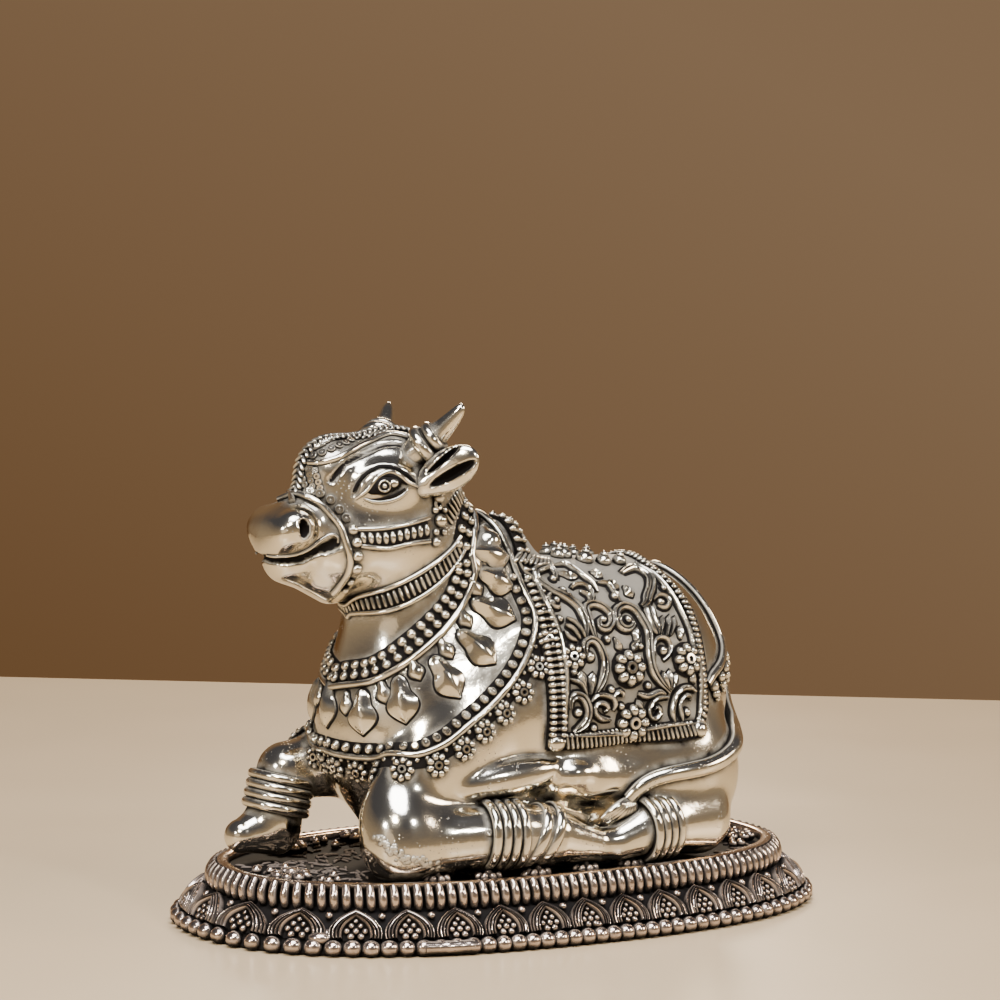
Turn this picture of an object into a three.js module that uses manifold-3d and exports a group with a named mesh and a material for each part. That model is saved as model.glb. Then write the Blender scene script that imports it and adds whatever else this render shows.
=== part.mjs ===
// Reclining nandi bull with its dress of ornaments, cast in one, on a separate oval lotus plinth.
// Millimetres, +Z up. The bull faces -X. The origin is at the middle of the plinth's underside.

import * as THREE from 'three';
import { mergeVertices } from 'three/addons/utils/BufferGeometryUtils.js';
import Module from 'manifold-3d';

const wasm = await Module();
wasm.setup();

// Driving dimensions of the bull

const figureHeight = 66;          // hooves to horn tips
const seatGap = 0.3;              // bull to plinth floor
const clothThickness = 0.7;
const clothBorder = 1.5;          // width of the raised border of the saddle cloth
const borderRise = 0.7;
const necklaceRadius = 0.75;
const harnessWidth = 1.3;         // noseband and brow line
const harnessRise = 0.7;
const cheekStrapWidth = 2;
const foreheadWidth = 4.4;
const neckBandWidth = 1.9;
const neckBandRise = 0.7;
const crupperWidth = 1.4;
const crupperRise = 0.8;
const pendantRise = 1.2;
const pendantsPerSide = 8;
const rosetteRise = 0.9;
const flowerDiameter = 5.4;
const flowerRise = 0.8;
const ankletPitch = 1.5;
const ankletRise = 0.7;
const tailRadius = 1.35;
const earLength = 9.8;
const earWidth = 6;
const earThickness = 2.8;
const earRootLength = 5.6;        // half of it inside the head
const earRootWidth = 3.4;
const spineMotifLength = 4.8;      // bud shapes down the middle of the saddle cloth
const spineMotifWidth = 3.2;
const spineMotifRise = 1.3;

// Driving dimensions of the plinth

const floorMargin = 3.2;          // clear floor beyond the bull's hooves, lengthwise
const floorSideMargin = 2.2;      // clear floor beside the folded legs
const floorHeight = 8;
const rimRise = 1.1;              // rim above the floor
const rimWidth = 1.5;
const reedHeight = 3.2;
const reedDepth = 0.9;
const reedCount = 136;
const petalBand = 2.6;            // how far the lotus band slopes outward
const petalBandHeight = 3.2;
const petalRise = 1.1;
const petalCount = 33;
const rimFacets = 48;
const beadDiameter = 2.4;
const beadCount = 101;
const rimRound = 0.45;            // rounding between the rim's top and the reeds
const reedStandoff = 0.8;         // how far the reeds stand out beyond the rim and their own depth
const ovalPower = 2.4;            // 2 is an ellipse, higher is squarer
const floorRosettes = 22;
const floorRosetteDiameter = 6;
const floorRosetteRise = 0.7;

// The free form of the bull is set out on a figure 66 units high and 82 long,
// measured from the plinth's floor, and follows figureHeight.

const unit = figureHeight / 66;
const vec = (x, y, z) => new THREE.Vector3(x, y, z);
const at = (x, y, z) => vec(x, y, z).multiplyScalar(unit);
const mirrored = (p) => vec(p.x, -p.y, p.z);
const onSide = (p, side) => vec(p.x, p.y * side, p.z);

// Soft solids: each form is a function that gives the distance of a point from its skin

function egg(x, y, z, rx, ry, rz, tilt = 0, turn = 0) {
  const centre = at(x, y, z);
  const radii = at(rx, ry, rz);
  const angles = new THREE.Euler(0, THREE.MathUtils.degToRad(tilt), THREE.MathUtils.degToRad(turn), 'ZYX');
  const undo = new THREE.Quaternion().setFromEuler(angles).invert();
  const q = vec(0, 0, 0);
  return (p) => {
    q.copy(p).sub(centre).applyQuaternion(undo).divide(radii);
    const near = q.length();
    const slope = q.divide(radii).length();
    return near * (near - 1) / Math.max(slope, 1e-6);
  };
}

function shank(start, end, startRadius, endRadius) {
  const foot = at(...start);
  const way = at(...end).sub(foot);
  const q = vec(0, 0, 0);
  return (p) => {
    const t = THREE.MathUtils.clamp(q.copy(p).sub(foot).dot(way) / way.lengthSq(), 0, 1);
    return q.addScaledVector(way, -t).length() - unit * THREE.MathUtils.lerp(startRadius, endRadius, t);
  };
}

function melt(first, ...others) {
  return (p) => {
    let d = first(p);
    for (const [softness, form] of others) {
      const e = form(p);
      const reach = Math.max(softness * unit - Math.abs(d - e), 0);
      d = Math.min(d, e) - reach * reach / (4 * softness * unit);
    }
    return d;
  };
}

function bothSides(form) {
  const q = vec(0, 0, 0);
  return (p) => form(q.set(p.x, -Math.abs(p.y), p.z));
}

const head = melt(
  egg(-20, 0, 53, 10.2, 8, 8.8, 8),
  [3, egg(-27, 0, 55.6, 5.6, 5.6, 4.4, 42)],
  [4, shank([-26, 0, 49.6], [-37.4, 0, 48], 6.2, 4.6)],
  [1.6, bothSides(egg(-37.6, -2.9, 48.6, 3.7, 3.2, 2.7, -10))],
  [1.8, egg(-34.8, 0, 44.9, 4.6, 4, 2.9, -30)],
  [3, bothSides(egg(-23.5, -3.8, 46.4, 9, 4.4, 5.2, -14))],
  [1.5, bothSides(egg(-24.4, -6, 54.9, 4.6, 2.2, 3.2, -6, -14))],
);

const neck = melt(
  shank([-19, 0, 45], [-16, 0, 30], 8.2, 9.6),
  [4, shank([-13, 0, 46], [-6, 0, 34], 7, 10.5)],
);

const trunk = melt(
  egg(-13.5, 0, 20, 16.2, 14.8, 16.5),
  [6, egg(7, 0, 21.6, 24, 16.8, 21.2)],
  [5, egg(20.8, 0, 22.2, 14.8, 16.2, 19.8)],
  [3, egg(-3.4, 0, 41.3, 6.6, 5.6, 7.4)],
  [5, egg(5, 0, 6, 26, 14.5, 7)],
);

const nearForeleg = melt(
  egg(-17, -11.6, 15.5, 14, 4.6, 7.6, -38),
  [3, shank([-25, -13.2, 7.6], [-25, -13.6, 5.2], 5.2, 5.2)],
  [2.5, shank([-25, -14, 5.2], [-9, -16.9, 6], 4.9, 4.1)],
  [1.5, shank([-9, -16.9, 6], [-4, -17.3, 5.6], 4.2, 4.2)],
  [1, shank([-2, -17.6, 5.2], [5, -18, 3.6], 4, 2.5)],
);

const farForeleg = melt(
  shank([-18, 8, 15], [-30.6, 8.8, 12.4], 7, 4),
  [1.5, shank([-31.6, 8.8, 12.6], [-33.2, 8.6, 6.8], 3.9, 3.8)],
  [1.2, shank([-33.6, 8.6, 4.6], [-38.6, 8.2, 3.7], 4.3, 2.5)],
);

const nearHindleg = melt(
  egg(20.5, -11, 12, 12.6, 8.4, 12),
  [3, egg(5.5, -13.8, 12.8, 9.5, 4.2, 4, 4)],
  [2, shank([24, -15, 5.5], [15, -17.4, 5.6], 5.2, 4)],
  [1.2, shank([13.6, -17.8, 5.2], [8, -18.2, 3.6], 3.8, 2.6)],
);

const farHindleg = melt(
  egg(20.5, 11, 12, 12.6, 8.4, 12),
  [2, shank([24, 15, 5.5], [8, 17, 4.4], 5.2, 3.2)],
);

const limbs = melt(nearForeleg, [2, farForeleg], [1.2, nearHindleg], [2, farHindleg]);
const body = melt(head, [2.5, neck], [5, trunk], [2, limbs]);

// Points on the skin

function normalAt(p, form = body) {
  const e = 0.05 * unit;
  const step = (x, y, z) => form(vec(p.x + x, p.y + y, p.z + z));
  return vec(step(e, 0, 0) - step(-e, 0, 0), step(0, e, 0) - step(0, -e, 0), step(0, 0, e) - step(0, 0, -e))
    .divideScalar(2 * e);
}

function lay(point, lift = 0) {
  const p = point.clone();
  for (let i = 0; i < 8; i++) {
    const slope = normalAt(p);
    p.addScaledVector(slope, (lift - body(p)) / Math.max(slope.lengthSq(), 0.2));
  }
  return p;
}

// Faceted solids and joins

// A closed surface as a solid, with its faces turned outward
function solidOf(geometry) {
  const bare = geometry.clone();
  bare.deleteAttribute('normal');
  bare.deleteAttribute('uv');
  const merged = mergeVertices(bare, 1e-4);
  const index = merged.index.array;
  const make = (flip) => {
    const triVerts = [];
    for (let i = 0; i < index.length; i += 3) {
      const [a, b, c] = index.slice(i, i + 3);
      if (a !== b && b !== c && c !== a) triVerts.push(a, flip ? c : b, flip ? b : c);
    }
    const mesh = {
      numProp: 3,
      vertProperties: Float32Array.from(merged.attributes.position.array),
      triVerts: Uint32Array.from(triVerts),
    };
    return new wasm.Manifold(new wasm.Mesh(mesh));
  };
  const solid = make(false);
  return solid.volume() > 0 ? solid : make(true);
}

function geometryOf(solid) {
  const mesh = solid.getMesh();
  const geometry = new THREE.BufferGeometry();
  geometry.setAttribute('position', new THREE.BufferAttribute(Float32Array.from(mesh.vertProperties), 3));
  geometry.setIndex(Array.from(mesh.triVerts));
  geometry.computeVertexNormals();
  return geometry;
}

function facets(points, faces) {
  const geometry = new THREE.BufferGeometry();
  const numbers = points.flatMap((p) => [p.x, p.y, p.z]);
  geometry.setAttribute('position', new THREE.Float32BufferAttribute(numbers, 3));
  geometry.setIndex(faces.flat());
  return geometry;
}

// The skin of a soft solid as facets: one point in each cell that the skin crosses,
// and one four-sided patch for each lattice edge that it crosses

function skinOf(form, xs, ys, zs) {
  const [nx, ny, nz] = [xs.length, ys.length, zs.length];
  const node = (i, j, k) => (i * ny + j) * nz + k;
  const depth = new Float64Array(nx * ny * nz);
  for (let i = 0; i < nx; i++) {
    for (let j = 0; j < ny; j++) {
      for (let k = 0; k < nz; k++) depth[node(i, j, k)] = form(vec(xs[i], ys[j], zs[k]));
    }
  }
  closePinches(depth, node, [nx, ny, nz]);
  const corners = [[0, 0, 0], [1, 0, 0], [0, 1, 0], [1, 1, 0], [0, 0, 1], [1, 0, 1], [0, 1, 1], [1, 1, 1]];
  const edges = [
    [0, 1], [2, 3], [4, 5], [6, 7], [0, 2], [1, 3], [4, 6], [5, 7], [0, 4], [1, 5], [2, 6], [3, 7],
  ];
  const points = [];
  const pointOf = new Map();
  for (let i = 0; i < nx - 1; i++) {
    for (let j = 0; j < ny - 1; j++) {
      for (let k = 0; k < nz - 1; k++) {
        const sum = vec(0, 0, 0);
        let crossings = 0;
        const value = corners.map(([a, b, c]) => depth[node(i + a, j + b, k + c)]);
        const place = corners.map(([a, b, c]) => vec(xs[i + a], ys[j + b], zs[k + c]));
        for (const [a, b] of edges) {
          if ((value[a] < 0) === (value[b] < 0)) continue;
          sum.add(place[a].clone().lerp(place[b], value[a] / (value[a] - value[b])));
          crossings++;
        }
        if (crossings === 0) continue;
        const p = sum.divideScalar(crossings);
        for (let pass = 0; pass < 2; pass++) {
          const slope = normalAt(p, form);
          p.addScaledVector(slope, -form(p) / Math.max(slope.lengthSq(), 0.3));
        }
        p.clamp(place[0], place[7]);
        pointOf.set(node(i, j, k), points.length);
        points.push(p);
      }
    }
  }
  // For each direction of a lattice edge, the four cells round that edge
  const around4 = [
    [[1, 0, 0], [[0, 1, 1], [0, 0, 1], [0, 0, 0], [0, 1, 0]]],
    [[0, 1, 0], [[1, 0, 1], [1, 0, 0], [0, 0, 0], [0, 0, 1]]],
    [[0, 0, 1], [[1, 1, 0], [0, 1, 0], [0, 0, 0], [1, 0, 0]]],
  ];
  const faces = [];
  const patch = (cells, flip) => {
    const [p, q, r, s] = cells.map((key) => pointOf.get(key));
    const shortFirst = points[p].distanceTo(points[r]) < points[q].distanceTo(points[s]);
    const pair = shortFirst ? [[p, q, r], [p, r, s]] : [[q, r, s], [q, s, p]];
    for (const [u, v, w] of pair) faces.push(flip ? [u, w, v] : [u, v, w]);
  };
  for (let i = 1; i < nx - 1; i++) {
    for (let j = 1; j < ny - 1; j++) {
      for (let k = 1; k < nz - 1; k++) {
        const here = depth[node(i, j, k)] < 0;
        for (const [next, cells] of around4) {
          const there = depth[node(i + next[0], j + next[1], k + next[2])] < 0;
          if (here === there) continue;
          patch(cells.map(([a, b, c]) => node(i - a, j - b, k - c)), !here);
        }
      }
    }
  }
  return facets(points, faces);
}

// Where only opposite corners of a lattice square are inside the form, a third corner is
// taken in too, so that no two sheets of the skin meet in a single edge
function closePinches(depth, node, [nx, ny, nz]) {
  const planes = [[[1, 0, 0], [0, 1, 0]], [[0, 1, 0], [0, 0, 1]], [[0, 0, 1], [1, 0, 0]]];
  const justInside = -0.01 * unit;
  for (let found = true; found;) {
    found = false;
    for (let i = 0; i < nx - 1; i++) {
      for (let j = 0; j < ny - 1; j++) {
        for (let k = 0; k < nz - 1; k++) {
          for (const [u, v] of planes) {
            const ring = [
              node(i, j, k),
              node(i + u[0], j + u[1], k + u[2]),
              node(i + u[0] + v[0], j + u[1] + v[1], k + u[2] + v[2]),
              node(i + v[0], j + v[1], k + v[2]),
            ];
            const [a, b, c, d] = ring.map((n) => depth[n] < 0);
            if (a !== c || b !== d || a === b) continue;
            const outside = ring.filter((n) => depth[n] >= 0);
            outside.sort((m, n) => depth[m] - depth[n]);
            depth[outside[0]] = justInside;
            found = true;
          }
        }
      }
    }
  }
}

// Lattice marks from one end to the other, whose step goes from one size to another about a place
function lattice(from, to, firstStep, lastStep, change) {
  const marks = [from * unit];
  let x = from;
  while (x < to) {
    const share = THREE.MathUtils.smoothstep(x, change - 4, change + 4);
    x += THREE.MathUtils.lerp(firstStep, lastStep, share);
    marks.push(x * unit);
  }
  return marks;
}

// Parts laid on the skin

// The section of a raised line: [across, above the skin] pairs, with its foot sunk in the skin
const ridge = (width, rise, sink = 0.7) => [
  [-width / 2, -sink * unit], [width / 2, -sink * unit], [0, rise],
];

function rope(points, section, { step = 4, lift = 0, closed = false } = {}) {
  const rough = new THREE.CatmullRomCurve3(points, closed, 'centripetal');
  const steps = Math.max(3, Math.round(rough.getLength() / (step * unit)));
  const spaced = rough.getSpacedPoints(steps).slice(0, closed ? steps : steps + 1);
  const laid = spaced.map((p) => lay(p, lift));
  return tube(new THREE.CatmullRomCurve3(laid, closed, 'centripetal'), steps, section);
}

// A bar along a curve whose section keeps one axis square to the skin
function tube(curve, steps, section) {
  const sides = section.length;
  const rings = curve.closed ? steps : steps + 1;
  const points = [];
  for (let i = 0; i < rings; i++) {
    const centre = curve.getPointAt(i / steps);
    const along = curve.getTangentAt(i / steps);
    const across = along.clone().cross(normalAt(centre)).normalize();
    const rise = across.clone().cross(along).normalize();
    for (const [x, y] of section) {
      points.push(centre.clone().addScaledVector(across, x).addScaledVector(rise, y));
    }
  }
  const faces = [];
  const total = rings * sides;
  for (let i = 0; i < steps; i++) {
    for (let s = 0; s < sides; s++) {
      const [a, b] = [i * sides + s, i * sides + (s + 1) % sides];
      const [c, d] = [(a + sides) % total, (b + sides) % total];
      faces.push([a, b, c], [b, d, c]);
    }
  }
  const last = total - sides;
  for (let s = 1; s < sides - 1 && !curve.closed; s++) {
    faces.push([0, s + 1, s], [last, last + s, last + s + 1]);
  }
  return facets(points, faces);
}

// Sets a shape made about its own origin, +Z outward and +X along, on the skin at a point
function seated(geometry, point, along, lift = 0) {
  const seat = lay(point, lift);
  const up = normalAt(seat).normalize();
  const across = up.clone().cross(along).normalize();
  const forward = across.clone().cross(up).normalize();
  return geometry.applyMatrix4(new THREE.Matrix4().makeBasis(forward, across, up).setPosition(seat));
}

const stud = (point, along, length, width, rise, lift = 0) => (
  seated(new THREE.OctahedronGeometry(1).scale(length / 2, width / 2, rise), point, along, lift)
);

function disc(point, along, diameter, rise, sides, lift = 0) {
  const sunk = 0.6 * unit;
  const topShare = 0.64;
  const shape = new THREE.CylinderGeometry(topShare * diameter / 2, diameter / 2, rise + sunk, sides);
  shape.rotateX(Math.PI / 2).translate(0, 0, (rise - sunk) / 2);
  return seated(shape, point, along, lift);
}

// The two necklaces of the bib: half of each, from the front of the chest to the nape

const innerNecklace = new THREE.CatmullRomCurve3([
  at(-28.8, 0, 25.9), at(-26.4, -6.7, 27.4), at(-21.9, -10, 30), at(-16.4, -10, 34.5),
  at(-12.6, -8.9, 39.6), at(-10.7, -7.6, 44.6), at(-9.4, 0, 49.6),
], false, 'centripetal');

const outerNecklace = new THREE.CatmullRomCurve3([
  at(-29.5, 0, 17.4), at(-26.9, -8.4, 18.1), at(-21.7, -14.4, 19.5), at(-14.2, -15.2, 23),
  at(-7, -14.1, 27.6), at(-2.6, -12.6, 33.6), at(-2.4, -8.6, 40.6), at(-6.2, 0, 47),
], false, 'centripetal');

// A place on the bib: u runs from chest to nape, w is 0 on the inner necklace and 1 on the outer
function bib(u, w, side) {
  const p = innerNecklace.getPointAt(u).lerp(outerNecklace.getPointAt(u), w);
  return onSide(p, -side);
}

// A padded layer on the skin: a grid of places, each lifted by its own amount, closed below the skin
function layer(columns, rows, wrapped, placeAt, liftAt) {
  const sunk = -1.4 * unit;
  const points = [];
  const faces = [];
  const across = wrapped ? columns : columns + 1;
  for (const raised of [false, true]) {
    for (let i = 0; i < across; i++) {
      for (let j = 0; j <= rows; j++) points.push(placeAt(i, j, raised ? liftAt(i, j) : sunk));
    }
  }
  const top = across * (rows + 1);
  const key = (i, j) => (i % across) * (rows + 1) + j;
  const wall = (a, b) => faces.push([a, b, b + top], [a, b + top, a + top]);
  for (let i = 0; i < columns; i++) {
    for (let j = 0; j < rows; j++) {
      const [a, b, c, d] = [key(i, j), key(i + 1, j), key(i + 1, j + 1), key(i, j + 1)];
      faces.push([a, c, b], [a, d, c]);
      if ((i + j) % 2) faces.push([a + top, b + top, c + top], [a + top, c + top, d + top]);
      else faces.push([a + top, b + top, d + top], [b + top, c + top, d + top]);
    }
    wall(key(i, 0), key(i + 1, 0));
    wall(key(i + 1, rows), key(i, rows));
  }
  for (let j = 0; j < rows && !wrapped; j++) {
    wall(key(0, j + 1), key(0, j));
    wall(key(columns, j), key(columns, j + 1));
  }
  return facets(points, faces);
}

// The bib, as one layer: two necklaces, pendant leaves between them and rosettes outside them
function bibLayer() {
  const perPendant = 2;
  const columns = 2 * pendantsPerSide * perPendant;
  const low = 0.25 * unit;
  const even = (rise) => () => rise;
  const leaf = (heights) => (i) => low + pendantRise * heights[i % perPendant];
  const rosette = (i) => low + (i % 2 ? 0 : rosetteRise);
  const band = [
    [0, even(2 * necklaceRadius - low)], [0.13, even(low)], [0.36, leaf([0, 1])],
    [0.62, leaf([0, 0.9])], [0.87, even(low)], [1, even(2 * necklaceRadius - low)],
    [1.13, even(low)], [1.4, rosette],
  ];
  const place = (i, j, lift) => {
    const share = 2 * i / columns;
    const near = share <= 1;
    return lay(bib(near ? share : 2 - share, band[j][0], near ? -1 : 1), lift);
  };
  return layer(columns, band.length - 1, true, place, (i, j) => band[j][1](i));
}

// The saddle cloth: s runs from its front edge to its rear edge, t from the near hem (-1) to the far hem (1)

function cloth(s, t, lift) {
  const over = Math.abs(t);
  const { lerp, smoothstep } = THREE.MathUtils;
  const rear = 22.1 + 2.9 * smoothstep(over, 0.12, 0.4) - 2 * smoothstep(over, 0.85, 1);
  const x = unit * lerp(-2.5, rear, s);
  const angle = THREE.MathUtils.degToRad(t * lerp(106.5, 101.5, s));
  const way = vec(0, Math.sin(angle), Math.cos(angle));
  const p = vec(x, 0, 22 * unit);
  for (let i = 0; i < 12; i++) p.addScaledVector(way, lift - body(p));
  return p;
}

function clothParts() {
  const columns = 7;
  const rows = 14;
  const clothLength = 27 * unit;
  const clothWidth = 76 * unit;
  // Shares at which the border starts, is full and ends
  const borderMarks = (size) => [0, 0.5, 1.1].map((part) => part * clothBorder / size);
  const spread = (i, count, marks) => {
    if (i < marks.length) return marks[i];
    if (i > count - marks.length) return 1 - marks[count - i];
    const inner = marks.at(-1);
    const share = (i - marks.length + 1) / (count - 2 * marks.length + 2);
    return THREE.MathUtils.lerp(inner, 1 - inner, share);
  };
  const place = (i, j, lift) => {
    const s = spread(i, columns, borderMarks(clothLength));
    const t = 2 * spread(j, rows, borderMarks(clothWidth)) - 1;
    return cloth(s, t, lift);
  };
  const onBorder = (i, j) => i < 2 || j < 2 || i > columns - 2 || j > rows - 2;
  const thickness = (i, j) => clothThickness + (onBorder(i, j) ? borderRise : 0);
  const parts = [layer(columns, rows, false, place, thickness)];
  const lengthwise = vec(1, 0, 0);
  for (const side of [-1, 1]) {
    for (const [s, t, share] of [[0.48, 0.84, 0.85], [0.46, 0.62, 1], [0.5, 0.34, 0.9]]) {
      const spot = cloth(s, t * side, 0);
      parts.push(disc(spot, lengthwise, share * flowerDiameter, flowerRise, 5, clothThickness));
    }
  }
  for (const s of [0.16, 0.5, 0.84]) {
    const spot = cloth(s, 0, 0);
    parts.push(stud(spot, lengthwise, spineMotifLength, spineMotifWidth, spineMotifRise, clothThickness));
  }
  return parts;
}

// The crupper runs round the rump from the rear edges of the cloth
function crupper() {
  const half = [
    at(24.8, -15.6, 25.4), at(28.4, -13.2, 27.4), at(31.3, -9.6, 29.6), at(31.3, -7.4, 33), at(30, -4.5, 36.6),
  ];
  return rope([...half, at(29.2, 0, 38.2), ...half.map(mirrored).reverse()], ridge(crupperWidth, crupperRise));
}

// The harness of the head and the band at the top of the neck

const noseband = [
  at(-36.1, 0, 53.1), at(-33.1, -3.7, 52.7), at(-30.7, -6, 49.5), at(-29.8, -6.8, 45.4),
  at(-29.4, -4.6, 41.6),
];
const neckBand = [
  at(-26.6, 0, 36.9), at(-25.1, -4.7, 37.6), at(-22, -7.6, 39.2), at(-16.8, -8.5, 42),
  at(-12.6, -7.6, 45.5), at(-10.6, -5, 49.4),
];
const loopOf = (half, lastPoint) => [...half, lastPoint, ...half.slice(1).map(mirrored).reverse()];

function harnessParts() {
  const parts = [
    rope(loopOf(noseband, at(-29, 0, 40.6)), ridge(harnessWidth, harnessRise), { closed: true }),
    rope(loopOf(neckBand, at(-10, 0, 51.4)), ridge(neckBandWidth, neckBandRise), { closed: true }),
    rope([at(-35.6, 0, 53.4), at(-33, 0, 57), at(-30, 0, 60.4), at(-24, 0, 61.6), at(-20, 0, 61.8)],
      ridge(foreheadWidth, harnessRise), { step: 3.6 }),
  ];
  for (const side of [-1, 1]) {
    const to = (x, y, z) => onSide(at(x, -y, z), side);
    const cheek = [to(-29.6, -6.9, 46.8), to(-26, -8.1, 46.6), to(-22.2, -8.6, 46.8), to(-18, -8.4, 47.6)];
    const brow = [to(-33.6, -3.2, 53.4), to(-31, -4, 55.8), to(-29.7, -4.5, 57.9), to(-27.3, -4.4, 59.3)];
    parts.push(rope([...cheek, to(-16, -7.6, 51.6)], ridge(cheekStrapWidth, harnessRise)));
    parts.push(rope([...brow, to(-22.6, -4.6, 60.3)], ridge(harnessWidth, harnessRise)));
  }
  return parts;
}

// Features of the head

function eye(side) {
  const ball = new THREE.SphereGeometry(unit, 7, 4).rotateX(Math.PI / 2).scale(2.9, 1.5, 0.9);
  return seated(ball, onSide(at(-25.2, 8, 55), side), vec(1, 0, 0.18));
}

function horn(side) {
  const length = 9.9;
  const profile = [
    [0, -1.5], [2.7, -1.5], [2.9, 1.2], [2.5, 2.6], [1.75, 3], [1.7, 5], [0.85, 8.8], [0, length],
  ].map(([r, h]) => new THREE.Vector2(r * unit, h * unit));
  const foot = onSide(at(-19, 5, 59.4), side);
  const way = onSide(at(-13, 10, 65.4), side).sub(foot).normalize();
  const turn = new THREE.Quaternion().setFromUnitVectors(vec(0, 1, 0), way);
  return new THREE.LatheGeometry(profile, 8).applyQuaternion(turn).translate(foot.x, foot.y, foot.z);
}

// A leaf-shaped ear, hollowed on its face, on a thick root that grows out of the head
function ear(side) {
  const long = onSide(vec(4.6, 4.4, 4.2), side).normalize();
  const face = onSide(vec(-0.62, 0.62, 0), side);
  face.addScaledVector(long, -face.dot(long)).normalize();
  const basis = new THREE.Matrix4().makeBasis(long, face.clone().cross(long), face);
  basis.setPosition(onSide(at(-16, 10.6, 57.6), side));
  const leaf = (length, width, thickness, [onward, outward], sides) => {
    const shape = new THREE.SphereGeometry(0.5, sides, 4).rotateX(Math.PI / 2);
    return solidOf(shape.scale(length, width, thickness).translate(onward, 0, outward).applyMatrix4(basis));
  };
  const lip = 0.8 * unit;
  const hollow = leaf(earLength - 2 * lip, earWidth - 2 * lip, earThickness, [0, earThickness / 2], 6);
  const root = leaf(earRootLength, earRootWidth, earRootWidth, [-earLength / 2, 0], 6);
  return leaf(earLength, earWidth, earThickness, [0, 0], 9).subtract(hollow).add(root);
}

function mouth() {
  const half = [at(-39.6, -2.5, 44.6), at(-35.7, -4.3, 44.9), at(-33.7, -4.9, 45.9), at(-31.4, -6, 47.4)];
  const slit = ridge(0.9 * unit, -0.8 * unit, -1);
  return rope([...[...half].reverse(), at(-41, 0, 44.4), ...half.map(mirrored)], slit, { step: 3 });
}

function nostril(side) {
  const pit = new THREE.SphereGeometry(1, 6, 4).scale(1.4 * unit, 0.9 * unit, 1.2 * unit);
  return seated(pit, onSide(at(-36.6, 5.8, 49.7), side), vec(1, 0, 0.6));
}

// Rings round a leg between two points of its middle line
function anklets(start, end, radius, rings) {
  const foot = at(...start);
  const way = at(...end).sub(foot).normalize();
  const thick = radius * unit;
  const profile = [new THREE.Vector2(0, 0), new THREE.Vector2(thick, 0)];
  for (let i = 0; i < rings; i++) {
    profile.push(new THREE.Vector2(thick + ankletRise, (i + 0.5) * ankletPitch));
    profile.push(new THREE.Vector2(thick, (i + 1) * ankletPitch));
  }
  profile.push(new THREE.Vector2(0, rings * ankletPitch));
  const turn = new THREE.Quaternion().setFromUnitVectors(vec(0, 1, 0), way);
  return new THREE.LatheGeometry(profile, 8).applyQuaternion(turn).translate(foot.x, foot.y, foot.z);
}

function legParts() {
  return [
    anklets([-13.2, -16.4, 6.1], [-4, -17.2, 5.6], 4.5, 4),
    anklets([17, -16.9, 5.4], [12, -17.8, 5.1], 4.5, 3),
    anklets([-31.8, 8.8, 11.8], [-33.2, 8.6, 6.4], 4.4, 4),
    anklets([17, 15.8, 5.1], [12, 16.5, 4.7], 4.8, 2),
  ];
}

function tailParts() {
  const route = [
    [33.5, 0, 34], [36, -1.6, 27], [35, -6.5, 20], [31, -12.5, 15.2], [26, -16, 14], [18, -18.4, 13.4],
    [11, -18.6, 12.2], [7, -19.3, 9.6],
  ].map((p) => at(...p));
  const curve = new THREE.CatmullRomCurve3(route, false, 'centripetal');
  const tuft = new THREE.SphereGeometry(1, 8, 5).scale(2 * unit, 1.7 * unit, 3.2 * unit).rotateY(0.4);
  const end = at(5.8, -19.8, 8);
  const round = [45, 135, 225, 315].map((turn) => THREE.MathUtils.degToRad(turn))
    .map((turn) => [tailRadius * Math.cos(turn), tailRadius * Math.sin(turn)]);
  return [tube(curve, 14, round), tuft.translate(end.x, end.y, end.z)];
}

// The bull, cast in one

function nandiBull() {
  // Lattice lines lie closer on the head, in front and above, than on the plain flanks
  const rowPitch = 3.7;
  const rows = [];
  for (let row = -8; row <= 8; row++) rows.push(row * rowPitch * unit);
  const lengthwise = lattice(-46, 40, 2.8, 5.4, -12);
  const upward = lattice(-8, 64, 4.6, 2.8, 36);
  let solid = solidOf(skinOf(body, lengthwise, rows, upward));
  const both = (make) => [make(-1), make(1)];
  for (const cut of [mouth(), ...both(nostril)]) solid = solid.subtract(solidOf(cut));
  for (const added of [
    ...clothParts(), bibLayer(), crupper(), ...harnessParts(), ...legParts(), ...tailParts(),
    ...both(eye), ...both(horn),
  ]) solid = solid.add(solidOf(added));
  for (const leaf of both(ear)) solid = solid.add(leaf);
  const ground = new THREE.BoxGeometry(200 * unit, 100 * unit, 40 * unit).translate(0, 0, -20 * unit);
  solid = solid.subtract(solidOf(ground));
  return geometryOf(solid);
}

// The plinth

class Oval extends THREE.Curve {
  constructor(halfLength, halfWidth) {
    super();
    this.halfLength = halfLength;
    this.halfWidth = halfWidth;
    this.arcLengthDivisions = 800;
  }

  getPoint(t) {
    const [c, s] = [Math.cos(2 * Math.PI * t), Math.sin(2 * Math.PI * t)];
    const bend = (v) => Math.sign(v) * Math.abs(v) ** (2 / ovalPower);
    return vec(this.halfLength * bend(c), this.halfWidth * bend(s), 0);
  }
}

const floorEdge = new Oval(39.4 * unit + floorMargin, 18.8 * unit + floorSideMargin);

// A point beside the floor's edge: share of the way round, distance outward and height
function around(share, out, z) {
  const p = floorEdge.getPointAt(((share % 1) + 1) % 1);
  const along = floorEdge.getTangentAt(((share % 1) + 1) % 1);
  return vec(p.x + along.y * out, p.y - along.x * out, z);
}

// One level of the plinth: points round it, in repeats of one or more offsets, as [outward, height] pairs
function level(repeats, ...offsets) {
  const points = [];
  for (let i = 0; i < repeats; i++) {
    offsets.forEach(([out, z], k) => {
      const share = (i + k / offsets.length) / repeats;
      points.push({ share, point: around(share, out, z) });
    });
  }
  return points;
}

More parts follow.
